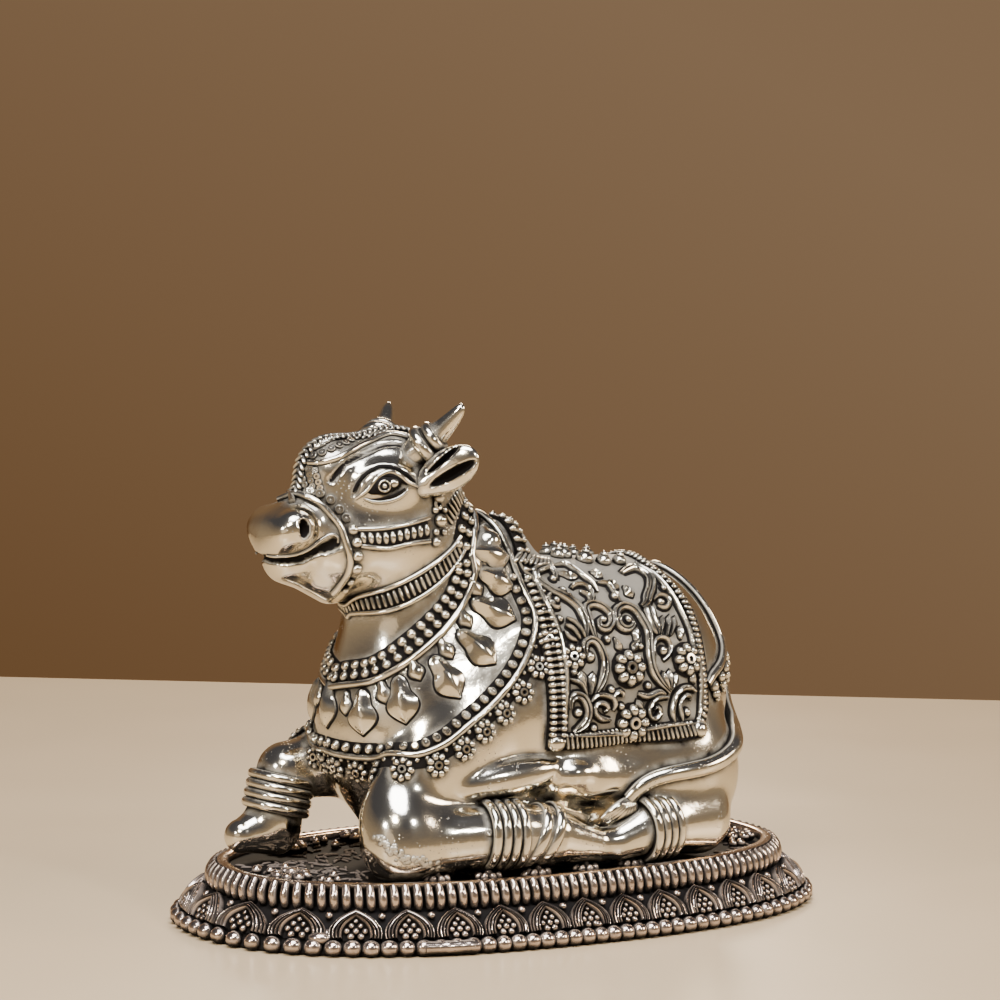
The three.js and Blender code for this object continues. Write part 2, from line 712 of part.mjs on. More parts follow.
// Joins levels, from the lowest to the topmost, into one closed surface
function stacked(levels, bottom, top) {
  const points = [bottom, top];
  const firsts = levels.map((row) => points.push(...row.map((entry) => entry.point)) - row.length);
  const faces = [];
  levels.forEach((low, n) => {
    const high = levels[n + 1];
    if (!high) return;
    let [i, j] = [0, 0];
    const shareOf = (row, k) => (k < row.length ? row[k].share : 1 + row[0].share);
    while (i < low.length || j < high.length) {
      const a = firsts[n] + (i % low.length);
      const b = firsts[n + 1] + (j % high.length);
      const lowNext = i < low.length && (j >= high.length || shareOf(low, i + 1) <= shareOf(high, j + 1));
      if (lowNext) faces.push([a, firsts[n] + (++i % low.length), b]);
      else faces.push([a, firsts[n + 1] + (++j % high.length), b]);
    }
  });
  const fan = (row, first, centre, up) => row.forEach((_, k) => {
    const [a, b] = [first + k, first + (k + 1) % row.length];
    faces.push(up ? [centre, a, b] : [centre, b, a]);
  });
  fan(levels[0], firsts[0], 0, false);
  fan(levels.at(-1), firsts.at(-1), 1, true);
  return facets(points, faces);
}

function ovalPlinth() {
  const rimTop = floorHeight + rimRise;
  const reedTop = rimTop - rimRound;
  const reedFoot = reedTop - reedHeight;
  const reedOut = rimWidth + reedDepth + reedStandoff;
  const bandFoot = reedFoot - petalBandHeight;
  const bandOut = reedOut + petalBand;
  const beadOut = bandOut + beadDiameter / 2;
  const beadRow = beadDiameter / 2;
  const bandMiddle = reedOut + petalBand * 0.6;
  const middle = (share) => THREE.MathUtils.lerp(bandFoot, reedFoot, share);
  const levels = [
    level(rimFacets, [beadOut - 0.6, 0]),
    level(beadCount, [beadOut - 0.2, beadRow], [beadOut + beadRow, beadRow]),
    level(rimFacets, [beadOut - 1, beadDiameter]),
    level(petalCount, [bandOut - 0.7, middle(0.18)], [bandOut + petalRise - 0.4, middle(0.1)]),
    level(petalCount, [bandMiddle - petalBand * 0.18, middle(0.5)], [bandMiddle + petalRise, middle(0.5)]),
    level(petalCount, [reedOut - 0.6, middle(0.92)], [reedOut + 0.5, middle(0.98)]),
    level(reedCount, [reedOut - reedDepth, reedFoot + 0.5], [reedOut, reedFoot + 0.4]),
    level(reedCount, [reedOut - reedDepth - 0.3, reedTop - 0.6], [reedOut - 0.5, reedTop - 0.8]),
    level(rimFacets, [rimWidth - 0.2, rimTop]),
    level(rimFacets, [0, rimTop]),
    level(rimFacets, [0, floorHeight]),
  ];
  let solid = solidOf(stacked(levels, vec(0, 0, 0), vec(0, 0, floorHeight)));
  const inset = -floorRosetteDiameter / 2 - 0.4;
  for (let i = 0; i < floorRosettes; i++) {
    const place = around((i + 0.5) / floorRosettes, inset, floorHeight);
    const beside = body(vec(place.x, place.y, floorRosetteRise));
    if (beside < 0.4 * floorRosetteDiameter + ankletRise) continue;
    const flower = new THREE.ConeGeometry(floorRosetteDiameter / 2, 2 * floorRosetteRise, 6);
    flower.rotateX(Math.PI / 2).translate(place.x, place.y, floorHeight);
    solid = solid.add(solidOf(flower));
  }
  return geometryOf(solid);
}

// The model

const silver = new THREE.MeshStandardMaterial({ color: '#b9b6b0', roughness: 0.28, metalness: 1 });
const plinthSilver = new THREE.MeshStandardMaterial({ color: '#a89c94', roughness: 0.34, metalness: 1 });

const bull = new THREE.Mesh(nandiBull(), silver);
bull.name = 'nandi_bull';
bull.position.z = floorHeight + seatGap;

const plinth = new THREE.Mesh(ovalPlinth(), plinthSilver);
plinth.name = 'oval_plinth';

const model = new THREE.Group();
model.add(plinth, bull);

export default model;
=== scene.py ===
# Reclining nandi bull, cast in silver coloured metal, on its oval lotus plinth.
# Each button of the panel makes one group of the casting's forms.

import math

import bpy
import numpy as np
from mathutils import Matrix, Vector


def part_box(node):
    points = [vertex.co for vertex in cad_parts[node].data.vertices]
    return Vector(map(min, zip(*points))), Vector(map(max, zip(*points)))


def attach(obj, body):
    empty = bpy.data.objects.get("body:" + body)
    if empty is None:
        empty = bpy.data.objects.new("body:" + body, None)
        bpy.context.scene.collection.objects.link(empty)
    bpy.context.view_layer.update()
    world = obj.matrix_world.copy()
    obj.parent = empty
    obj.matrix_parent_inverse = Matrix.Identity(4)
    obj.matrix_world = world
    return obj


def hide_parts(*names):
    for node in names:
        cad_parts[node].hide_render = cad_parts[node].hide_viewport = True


bl_info = {
    "name": "Nandi Bull Casting",
    "version": (1, 0, 0),
    "blender": (4, 5, 0),
    "location": "3D View > Sidebar > Nandi",
    "description": "Builds a reclining nandi bull figure and its lotus plinth",
    "category": "Add Mesh",
}

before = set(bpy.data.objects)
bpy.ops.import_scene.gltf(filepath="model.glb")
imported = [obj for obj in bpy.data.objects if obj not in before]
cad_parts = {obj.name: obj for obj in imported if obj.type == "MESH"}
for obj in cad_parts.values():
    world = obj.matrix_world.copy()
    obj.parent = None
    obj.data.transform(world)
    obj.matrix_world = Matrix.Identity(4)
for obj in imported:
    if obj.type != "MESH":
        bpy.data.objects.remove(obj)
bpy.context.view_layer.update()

MM = 0.001
BULL = "nandi_bull"
PLINTH = "oval_plinth"
BULL_SLOT = "bull_silver"
PLINTH_SLOT = "plinth_silver"

# The bull's own frame starts where its hooves meet the plinth's floor
BULL_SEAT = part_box(BULL)[0].z / MM
PLINTH_HALF_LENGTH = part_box(PLINTH)[1].x / MM
PLINTH_HALF_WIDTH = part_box(PLINTH)[1].y / MM


# The photograph's camera, in mm and degrees

PHOTO_AZIMUTH = -31.46
PHOTO_ELEVATION = 5.18
PHOTO_ROLL = 1.36
CAMERA_DISTANCE = 521.8
LOOKED_AT = np.array([-1.6, 0, 60])
SENSOR = 36.0
FOCAL_PIXELS = 3590.7
PHOTO_PIXELS = 1000


def photo_axes():
    """The directions to the right of the photograph, up in it and back towards its camera."""
    azimuth, elevation, roll = (math.radians(v) for v in (PHOTO_AZIMUTH, PHOTO_ELEVATION, PHOTO_ROLL))
    level = np.array([math.cos(azimuth), math.sin(azimuth), 0])
    away = np.array([math.sin(azimuth), -math.cos(azimuth), 0])
    back = math.cos(elevation) * away + (0, 0, math.sin(elevation))
    upright = np.cross(back, level)
    right = math.cos(roll) * level + math.sin(roll) * upright
    return right, math.cos(roll) * upright - math.sin(roll) * level, back


# Forms of the bull: each is a function that gives the distance of points from its skin, in mm

def turning(tilt, turn):
    """Rows of the rotation that tilts about Y and then turns about Z, in degrees."""
    a, b = math.radians(tilt), math.radians(turn)
    about_y = np.array([[math.cos(a), 0, math.sin(a)], [0, 1, 0], [-math.sin(a), 0, math.cos(a)]])
    about_z = np.array([[math.cos(b), -math.sin(b), 0], [math.sin(b), math.cos(b), 0], [0, 0, 1]])
    return about_z @ about_y


def egg(x, y, z, rx, ry, rz, tilt=0, turn=0):
    """An ellipsoid from its middle and its three radii."""
    centre = np.array([x, y, z], float)
    radii = np.array([rx, ry, rz], float)
    undo = turning(tilt, turn)

    def form(p):
        q = ((p - centre) @ undo) / radii
        near = np.sqrt((q * q).sum(-1))
        slope = np.sqrt(((q / radii) ** 2).sum(-1))
        return near * (near - 1) / np.maximum(slope, 1e-6)
    return form


def shank(start, end, start_radius, end_radius):
    """A round bar between two places, with a radius at each end."""
    foot = np.array(start, float)
    way = np.array(end, float) - foot

    def form(p):
        t = np.clip((p - foot) @ way / (way @ way), 0, 1)
        away = p - foot - t[..., None] * way
        return np.sqrt((away * away).sum(-1)) - (start_radius + (end_radius - start_radius) * t)
    return form


def melt(first, *others):
    """Joins forms, each with the softness of its own joint in mm."""
    def form(p):
        d = first(p)
        for softness, other in others:
            e = other(p)
            reach = np.maximum(softness - np.abs(d - e), 0)
            d = np.minimum(d, e) - reach * reach / (4 * softness)
        return d
    return form


def carve(first, *others):
    """Cuts forms out of the first, each with the softness of its own edge in mm."""
    def form(p):
        d = first(p)
        for softness, other in others:
            e = -other(p)
            reach = np.maximum(softness - np.abs(d - e), 0)
            d = np.maximum(d, e) + reach * reach / (4 * softness)
        return d
    return form


def both_sides(form):
    """A form of the near side together with its mirror image."""
    def mirrored(p):
        q = p.copy()
        q[..., 1] = -np.abs(q[..., 1])
        return form(q)
    return mirrored


def beyond(way, reach):
    """Everything past a plane that lies square to a direction."""
    return lambda p: reach - p @ np.array(way, float)


# The blunt end of the muzzle: flat above, where it slants, and flat in front
MUZZLE_END = carve(
    melt(
        shank((-26, 0, 49.6), (-37.4, 0, 48), 6.2, 4.6),
        (1.6, both_sides(egg(-37.6, -2.9, 48.6, 3.7, 3.2, 2.7, -10))),
    ),
    (1.2, beyond((-0.6, 0, 0.8), 64.6)), (1.6, beyond((-1, 0, 0), 41.2)),
)
HEAD = melt(
    egg(-20, 0, 53, 10.2, 8, 9.2, 8),
    (3, egg(-29.3, 0, 56, 5.3, 4.9, 5.1)),
    (3, MUZZLE_END),
    (1.8, egg(-34.8, 0, 44.9, 4.6, 4, 2.9, -30)),
    (2, shank((-36.5, 0, 43.8), (-29.5, 0, 41.4), 2.6, 3.7)),
    (3, both_sides(egg(-23.5, -3.8, 46.4, 9, 4.4, 5.2, -14))),
    (1.5, both_sides(egg(-24.4, -6, 54.9, 4.6, 2.2, 3.2, -6, -14))),
)
NECK = melt(
    shank((-19, 0, 45), (-16, 0, 30), 8.2, 9.6),
    (4, shank((-13, 0, 46), (-6, 0, 34), 7, 10.5)),
)
TRUNK = melt(
    egg(-13.5, 0, 20, 16.2, 14.8, 16.5),
    (6, egg(7, 0, 21.6, 24, 16.8, 21.2)),
    (5, egg(20.8, 0, 22.2, 14.8, 16.2, 19.8)),
    (3, egg(-3.4, 0, 41.3, 6.6, 5.6, 7.4)),
    (5, egg(5, 0, 6, 26, 14.5, 7)),
)
NEAR_FORELEG = melt(
    egg(-17, -11.6, 15.5, 14, 4.6, 7.6, -38),
    (3, shank((-25, -13.2, 7.6), (-25, -13.6, 5.2), 5.2, 5.2)),
    (2.5, shank((-25, -14, 5.2), (-9, -16.9, 6), 4.9, 4.1)),
    (1.5, shank((-9, -16.9, 6), (-4, -17.3, 5.6), 4.2, 4.2)),
    (1, shank((-2, -17.6, 5.2), (5, -18, 3.6), 4, 2.5)),
)
FAR_FORELEG = melt(
    shank((-18, 8, 15), (-30.6, 8.8, 12.4), 7, 4),
    (1.5, shank((-31.6, 8.8, 12.6), (-33.2, 8.6, 6.8), 3.9, 3.8)),
    (1.2, shank((-33.6, 8.6, 4.6), (-38.6, 8.2, 3.7), 4.3, 2.5)),
)
NEAR_HINDLEG = melt(
    egg(20.5, -11, 12, 12.6, 8.4, 12),
    (3, egg(5.5, -13.8, 12.8, 9.5, 4.2, 4, 4)),
    (2, shank((24, -15, 5.5), (15, -17.4, 5.6), 5.2, 4)),
    (1.2, shank((13.6, -17.8, 5.2), (8, -18.2, 3.6), 3.8, 2.6)),
)
FAR_HINDLEG = melt(
    egg(20.5, 11, 12, 12.6, 8.4, 12),
    (2, shank((24, 15, 5.5), (8, 17, 4.4), 5.2, 3.2)),
)
LIMBS = melt(NEAR_FORELEG, (2, FAR_FORELEG), (1.2, NEAR_HINDLEG), (2, FAR_HINDLEG))
BODY = melt(HEAD, (2.5, NECK), (5, TRUNK), (2, LIMBS))


# Points on the skin

def slope_at(p, form=BODY):
    """The direction in which the distance from a form's skin grows fastest."""
    e = 0.05
    return np.stack([
        (form(p + e * axis) - form(p - e * axis)) / (2 * e) for axis in np.eye(3)
    ], axis=-1)


def unit(v):
    """Vectors brought to a length of 1."""
    return v / np.maximum(np.linalg.norm(v, axis=-1, keepdims=True), 1e-9)


def lay(points, lift=0.0):
    """Moves points onto the bull's skin, or above it by lift."""
    p = np.array(points, float)
    for _ in range(7):
        slope = slope_at(p)
        step = (lift - BODY(p)) / np.maximum((slope * slope).sum(-1), 0.2)
        p = p + step[..., None] * slope
    return p


def route(points):
    """Dense points of a centripetal Catmull-Rom curve, with the length along it."""
    p = np.array(points, float)
    p = np.vstack([2 * p[0] - p[1], p, 2 * p[-1] - p[-2]])
    dense = []
    for a, b, c, d in zip(p, p[1:], p[2:], p[3:]):
        gaps = [max(np.linalg.norm(v - u), 1e-6) ** 0.5 for u, v in ((a, b), (b, c), (c, d))]
        t0, t1 = 0.0, gaps[0]
        t2 = t1 + gaps[1]
        t3 = t2 + gaps[2]
        t = np.linspace(t1, t2, 40, endpoint=False)[:, None]
        ab = (t1 - t) / (t1 - t0) * a + (t - t0) / (t1 - t0) * b
        bc = (t2 - t) / (t2 - t1) * b + (t - t1) / (t2 - t1) * c
        cd = (t3 - t) / (t3 - t2) * c + (t - t2) / (t3 - t2) * d
        abc = (t2 - t) / (t2 - t0) * ab + (t - t0) / (t2 - t0) * bc
        bcd = (t3 - t) / (t3 - t1) * bc + (t - t1) / (t3 - t1) * cd
        dense.append((t2 - t) / (t2 - t1) * abc + (t - t1) / (t2 - t1) * bcd)
    dense = np.vstack(dense + [p[-2][None]])
    length = np.r_[0, np.cumsum(np.linalg.norm(np.diff(dense, axis=0), axis=1))]
    return dense, length


def along(curve, shares):
    """Points at shares of a curve's length."""
    dense, length = curve
    at = np.clip(np.asarray(shares, float), 0, 1) * length[-1]
    return np.stack([np.interp(at, length, dense[:, k]) for k in range(3)], axis=-1)


def spindle(count, start=0.3, end=0.3):
    """Widths along a line that thins out towards both its ends."""
    return np.sin(np.linspace(start, math.pi - end, count))


def flipped(points):
    """The mirror image of points on the bull's other side."""
    p = np.array(points, float)
    p[..., 1] *= -1
    return p


# A ray from the photograph's camera starts so many mm before the middle of the figure. It goes only a share
# of the measured gap in each step, since the forms give distances only nearly
RAY_START, RAY_STEPS, RAY_SHARE = 90, 60, 0.85


def seen(pixels):
    """Points of the near side's skin that lie behind pixels of the photograph."""
    right, up, back = photo_axes()
    eye = LOOKED_AT + back * CAMERA_DISTANCE - (0, 0, BULL_SEAT)
    offset = (np.array(pixels, float) - PHOTO_PIXELS / 2) / FOCAL_PIXELS
    way = unit(offset[:, :1] * right - offset[:, 1:] * up - back)
    far = np.full(len(way), CAMERA_DISTANCE - RAY_START)
    nearest = np.full(len(way), 1e9)
    spots = eye + far[:, None] * way
    for _ in range(RAY_STEPS):
        p = eye + far[:, None] * way
        gap = BODY(p)
        closer = np.abs(gap) < nearest
        nearest = np.where(closer, np.abs(gap), nearest)
        spots[closer] = p[closer]
        far = far + RAY_SHARE * gap
    return lay(spots)


def on_side(spots, side, lift=0.0):
    """Places of the near side on that side or its mirror image, with the outward directions there."""
    laid = lay(spots if side < 0 else flipped(spots), lift)
    return laid, unit(slope_at(laid))


def traced(lines, side, lift, pitch):
    """Lines of photo pixels as dense points on one side of the bull, each with its outward directions."""
    ends = np.cumsum([len(line) for line in lines])[:-1]
    spots = np.split(seen(np.vstack(lines)), ends)
    dense = []
    for part in spots:
        curve = route(part)
        dense.append(along(curve, np.linspace(0, 1, max(5, int(curve[1][-1] / pitch)))))
    laid, out = on_side(np.vstack(dense), side, lift)
    ends = np.cumsum([len(part) for part in dense])[:-1]
    return list(zip(np.split(laid, ends), np.split(out, ends)))


# Folds and small forms that only the finished casting shows

def furrow(pixels, radius, depth=0.0):
    """A channel along photo pixels, on both sides."""
    spots = lay(seen(pixels), -depth)
    parts = [shank(start, end, radius, radius) for start, end in zip(spots, spots[1:])]

    def form(p):
        return np.minimum.reduce([part(p) for part in parts])
    return both_sides(form)


NOSTRIL_WING = both_sides(egg(-37.2, -4.2, 49.2, 2.5, 2.1, 2.3))
NOSTRIL = both_sides(egg(-37, -6, 49.2, 0.85, 1.8, 1.35, 0, 20))
EYE_SOCKET = both_sides(egg(-25.3, -8.9, 55.1, 3.5, 1.15, 2.05, -14))
BROW_GROOVE = furrow([
    (331, 481), (345, 464), (362, 453.5), (380, 445.5), (396, 443.5), (410, 448), (424, 455)], 0.42)
MOUTH = furrow([
    (264, 558.5), (275, 560), (290, 560.5), (304, 558), (316, 552), (326, 546.5), (335.5, 542)], 0.68)
MOUTH_CORNER = furrow([(324, 549.5), (330, 546.5), (335, 543.5)], 1.05, -0.35)
LID_CREASE = furrow([
    (354, 495), (359.3, 480.5), (368, 471.8), (380.4, 466), (392.6, 467), (403.2, 471.8), (414, 482)], 0.3)
HUMP_FOLD = furrow([(489, 511), (478, 522), (470, 540), (468, 552)], 0.6)
# Rolls of skin at the nape, and the lobe of the flank over the folded foreleg
ROLLS = melt(
    shank((-10.6, -2.6, 47.6), (-8.4, -6.2, 44.4), 2.1, 1.9),
    (0.8, shank((-8.6, 2.6, 48), (-6.8, -5.4, 46.2), 2, 1.9)),
)
LOBE = egg(-9, -15, 13.6, 9.4, 2.7, 2.7, -7, -3)
LOBE_END = egg(2.2, -16.2, 13.6, 3, 2.2, 2)

UNCUT = melt(BODY, (0.8, ROLLS), (0.7, LOBE), (0.8, LOBE_END), (1, NOSTRIL_WING))
FINISHED = carve(
    UNCUT,
    (0.25, NOSTRIL), (0.4, EYE_SOCKET), (0.3, BROW_GROOVE), (0.25, MOUTH), (0.2, MOUTH_CORNER),
    (0.2, LID_CREASE), (0.4, HUMP_FOLD),
)


def cast_skin(p):
    """The finished skin, cut flat where the bull meets the plinth's floor."""
    return np.maximum(FINISHED(p), -p[..., 2])


# Shapes that are stamped onto a surface: X along, Y across, Z outward, in a size of 1

def lathe(profile, sides):
    """A turned shape about Z from [radius, height] pairs that start and end on the axis."""
    points, faces = [(0, 0, profile[0][1])], []
    turns = np.linspace(0, 2 * math.pi, sides, endpoint=False)
    for r, z in profile[1:-1]:
        points += [(r * math.cos(a), r * math.sin(a), z) for a in turns]
    points.append((0, 0, profile[-1][1]))
    rings = len(profile) - 2
    for s in range(sides):
        n = (s + 1) % sides
        faces.append((0, 1 + n, 1 + s))
        for k in range(rings - 1):
            a, b = 1 + k * sides, 1 + (k + 1) * sides
            faces.append((a + s, a + n, b + n, b + s))
        last = 1 + (rings - 1) * sides
        faces.append((last + s, last + n, len(points) - 1))
    return np.array(points, float), faces


def ball(sides, rows):
    """A ball of diameter 1."""
    turns = np.linspace(-math.pi / 2, math.pi / 2, rows + 1)
    profile = [(math.cos(a) / 2, math.sin(a) / 2) for a in turns]
    profile[0], profile[-1] = (0, -0.5), (0, 0.5)
    return lathe(profile, sides)


def ring(thickness, sides=14, facets=7):
    """A ring of outer diameter 1 that lies flat."""
    points, faces = [], []
    middle = (1 - thickness) / 2
    for i in range(sides):
        a = 2 * math.pi * i / sides
        for j in range(facets):
            b = 2 * math.pi * j / facets
            r = middle + thickness / 2 * math.cos(b)
            points.append((r * math.cos(a), r * math.sin(a), thickness / 2 * math.sin(b)))
            n, m = (i + 1) % sides, (j + 1) % facets
            faces.append((i * facets + j, n * facets + j, n * facets + m, i * facets + m))
    return np.array(points, float), faces


def bar():
    """A bar with round ends along X."""
    points, faces = ball(8, 8)
    points = points[:, [2, 0, 1]].copy()
    points[:, 0] = np.sign(points[:, 0]) * np.abs(2 * points[:, 0]) ** 0.45 / 2
    return points, faces


def merged(*shapes):
    """One shape from several, each with a size, a place and a turn of its own."""
    points, faces = [], []
    for (p, f), size, place, turn in shapes:
        c, s = math.cos(turn), math.sin(turn)
        spun = np.array(p) * size @ np.array([[c, s, 0], [-s, c, 0], [0, 0, 1]])
        start = sum(len(q) for q in points)
        points.append(spun + place)
        faces += [tuple(start + v for v in face) for face in f]
    return np.vstack(points), faces


# Half width of a pendant leaf at shares of its length from the stem: a neck, a waist, a full body and a point
LEAF_OUTLINE = [
    (0, 0.06), (0.05, 0.34), (0.14, 0.5), (0.27, 0.56), (0.36, 0.62), (0.46, 0.84), (0.56, 0.98),
    (0.65, 1), (0.75, 0.88), (0.85, 0.6), (0.93, 0.3), (1, 0.03),
]


def leaf(ridge=0.5, rows=22, across=8):
    """A pendant leaf with a crest along its middle."""
    points, faces = [], []
    shares, halves = np.array(LEAF_OUTLINE).T
    for i in range(rows + 1):
        v = i / rows
        width = 0.5 * np.interp(v, shares, halves)
        crown = math.sin(math.pi * min(1, v * 0.97 + 0.03)) ** 0.35
        for j in range(across + 1):
            u = 2 * j / across - 1
            height = crown * (ridge * (1 - abs(u)) + (1 - ridge) * (1 - u * u) ** 0.5)
            points.append((v - 0.5, u * width, max(height, 0.28)))
    for i in range(rows):
        for j in range(across):
            a = i * (across + 1) + j
            b = a + across + 1
            faces.append((a, b, b + 1, a + 1))
    top = len(points)
    sunk = [(x, y * 1.02, -0.3) for x, y, _ in points]
    points += sunk
    faces += [tuple(v + top for v in reversed(f)) for f in list(faces)]
    rim = [i * (across + 1) for i in range(rows + 1)]
    rim += [rows * (across + 1) + j for j in range(1, across + 1)]
    rim += [i * (across + 1) + across for i in range(rows - 1, -1, -1)]
    rim += [j for j in range(across - 1, 0, -1)]
    for a, b in zip(rim, rim[1:] + rim[:1]):
        faces.append((b, a, a + top, b + top))
    return np.array(points, float), faces


def flower(sides):
    """A flower of diameter 1: round petals about a ringed centre with a hole."""
    petals, length, width, height = 8, 0.35, 0.29, 0.34
    reach = 0.5 - length / 2
    parts = []
    for a in 2 * math.pi * np.arange(petals) / petals:
        place = (reach * math.cos(a), reach * math.sin(a), 0.02)
        parts.append((ball(sides, 5), (length, width, height), place, a))
    parts.append((ring(0.34, 14, 6), (0.37, 0.37, 0.5), (0, 0, 0.12), 0))
    return merged(*parts)


BEAD = ball(10, 6)
FINE_BEAD = ball(14, 9)
EYEBALL = ball(24, 16)
CIRCLET = merged(
    (ring(0.42, 12, 6), (1, 1, 1), (0, 0, 0), 0), (ball(8, 4), (0.3, 0.3, 0.3), (0, 0, 0), 0))
BAR = bar()
# A bar that swells at both ends, and a bead with a dimple in its crown
LADDER_BAR = merged(
    (BAR, (1, 0.62, 0.7), (0, 0, 0), 0), (FINE_BEAD, (0.42, 1, 1), (-0.27, 0, 0), 0),
    (FINE_BEAD, (0.42, 1, 1), (0.27, 0, 0), 0))
DIMPLED = merged(
    (FINE_BEAD, (1, 1, 1), (0, 0, 0), 0), (ring(0.4, 12, 6), (0.62, 0.62, 0.5), (0, 0, 0.42), 0))
LEAF = leaf()
LEAF_BED = leaf(rows=12, across=4)
LOBED = leaf(ridge=0.1, rows=16, across=6)
FLOWER = flower(sides=10)
SMALL_FLOWER = flower(sides=6)


def by_corners(faces):
    """Faces as arrays of one number of corners each."""
    if isinstance(faces, np.ndarray):
        return [faces]
    groups = {}
    for face in faces:
        groups.setdefault(len(face), []).append(face)
    return [np.array(group) for group in groups.values()]


class Casting:
    """Collects forms in mm and turns them into one piece of the figure."""

    def __init__(self, seat):
        self.seat = seat
        self.points = []
        self.faces = []
        self.soot = []
        self.count = 0

    def add(self, points, faces, soot=0.0):
        """Adds a form as it is. Soot is the share of black that its points keep."""
        points = np.asarray(points, float).reshape(-1, 3)
        for group in by_corners(faces):
            self.faces.append(group + self.count)
        self.points.append(points)
        self.soot.append(np.broadcast_to(soot, len(points)))
        self.count += len(points)

    def stamp(self, shape, places, outward, forward, size, soot=0.0, draped=False):
        """Copies of a shape at places, each turned to its own outward and forward directions,
        and bent to the bull's skin where they are draped."""
        points, faces = shape
        places = np.asarray(places, float).reshape(-1, 3)
        up = unit(np.broadcast_to(np.asarray(outward, float), places.shape))
        way = np.broadcast_to(np.asarray(forward, float), places.shape)
        across = unit(np.cross(up, way))
        way = np.cross(across, up)
        size = np.broadcast_to(np.asarray(size, float), (len(places), 3))
        local = points[None] * size[:, None]
        laid = (
            places[:, None] + local[..., :1] * way[:, None]
            + local[..., 1:2] * across[:, None] + local[..., 2:] * up[:, None]
        )
        for _ in range(2 if draped else 0):
            wanted = local[..., 2] + BODY(places)[:, None]
            laid = laid + up[:, None] * (wanted - BODY(laid))[..., None]
        starts = np.arange(len(places))[:, None, None] * len(points)
        for group in by_corners(faces):
            self.faces.append((group[None] + starts).reshape(-1, group.shape[1]) + self.count)
        self.points.append(laid.reshape(-1, 3))
        # The foot of each form stays black
        self.soot.append(np.tile(np.where(points[:, 2] < 0.02, 1.0, soot), len(places)))
        self.count += len(places) * len(points)

    def outlined(self, shape, places, outward, forward, size, edge=0.3):
        """Copies of a shape laid on the bull's skin, each with a black edge round its foot."""
        wider = np.broadcast_to(np.asarray(size, float), (len(places), 3)) * (1, 1, 0)
        wider = wider + (2 * edge, 2 * edge, 0.25)
        self.stamp(shape, places, outward, forward, wider, soot=1.0, draped=True)
        self.stamp(shape, places, outward, forward, size, draped=True)

    def ground(self, centres, outward, half_width, taper=1.0):
        """A thin strip of black ground along points."""
        self.sweep(centres, outward, half_width, 0.12, 6, taper=taper, soot=1.0)

    def sweep(self, centres, outward, half_width, half_rise, sides, closed=False, taper=1.0, soot=0.0):
        """A bar of oval section along points, with its rise square to the skin and its foot black."""
        centres = np.asarray(centres, float)
        count = len(centres)
        if closed:
            way = unit(np.roll(centres, -1, 0) - np.roll(centres, 1, 0))
        else:
            way = unit(np.gradient(centres, axis=0))
        across = unit(np.cross(way, outward))
        up = unit(np.cross(across, way))
        scale = np.broadcast_to(np.asarray(taper, float), count)
        turns = np.linspace(0, 2 * math.pi, sides, endpoint=False)
        c, s = np.cos(turns)[None, :, None], np.sin(turns)[None, :, None]
        wide = (half_width * scale)[:, None, None] * across[:, None]
        high = (half_rise * scale)[:, None, None] * up[:, None]
        points = (centres[:, None] + c * wide + s * high).reshape(-1, 3)
        rows = np.arange(count if closed else count - 1)
        i, j = np.meshgrid(rows, np.arange(sides), indexing="ij")
        n, m = (i + 1) % count, (j + 1) % sides
        quads = np.stack([i * sides + j, i * sides + m, n * sides + m, n * sides + j], -1).reshape(-1, 4)
        start = self.count
        self.add(points, quads, np.tile(np.where(np.sin(turns) < 0.2, 1.0, soot), count))
        if not closed:
            self.faces.append(np.array([[start + k for k in range(sides)]]))
            last = start + (count - 1) * sides
            self.faces.append(np.array([[last + k for k in reversed(range(sides))]]))

    def piece(self, name, material, slot_name, node=None, smooth_angle=50):
        """Makes the collected forms one piece of the figure, which replaces a node where one is named."""
        points = np.vstack(self.points)
        points[:, 2] += self.seat
        mesh = bpy.data.meshes.new(name)
        mesh.vertices.add(len(points))
        mesh.vertices.foreach_set("co", (points * MM).astype(np.float32).ravel())
        loops = np.concatenate([group.ravel() for group in self.faces])
        totals = np.concatenate([np.full(len(group), group.shape[1]) for group in self.faces])
        starts = np.r_[0, np.cumsum(totals)[:-1]]
        mesh.loops.add(len(loops))
        mesh.loops.foreach_set("vertex_index", loops.astype(np.int32))
        mesh.polygons.add(len(totals))
        mesh.polygons.foreach_set("loop_start", starts.astype(np.int32))
        mesh.update(calc_edges=True)
        soot = mesh.attributes.new("soot", "FLOAT", "POINT")
        soot.data.foreach_set("value", np.concatenate(self.soot).astype(np.float32))
        mesh.validate()
        mesh.shade_smooth()
        if smooth_angle < 180:
            mesh.set_sharp_from_angle(angle=math.radians(smooth_angle))
        mesh.materials.append(material)
        piece = bpy.data.objects.new(name, mesh)
        bpy.context.scene.collection.objects.link(piece)
        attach(piece, "root")
        if node:
            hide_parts(node)


# The skin of the bull as a fine net

def marks(start, end, first_step, last_step, change):
    """Lattice marks whose step goes from one size to another about a place."""
    found, blend = [start], 6
    while found[-1] < end:
        share = min(1, max(0, (found[-1] - change + blend / 2) / blend))
        found.append(found[-1] + first_step + (last_step - first_step) * share)
    return np.array(found)


# So many points are measured at a time, to keep the arrays small
BATCH = 50000
# Away from the skin only one point in so many along each axis is measured
STRIDE = 4


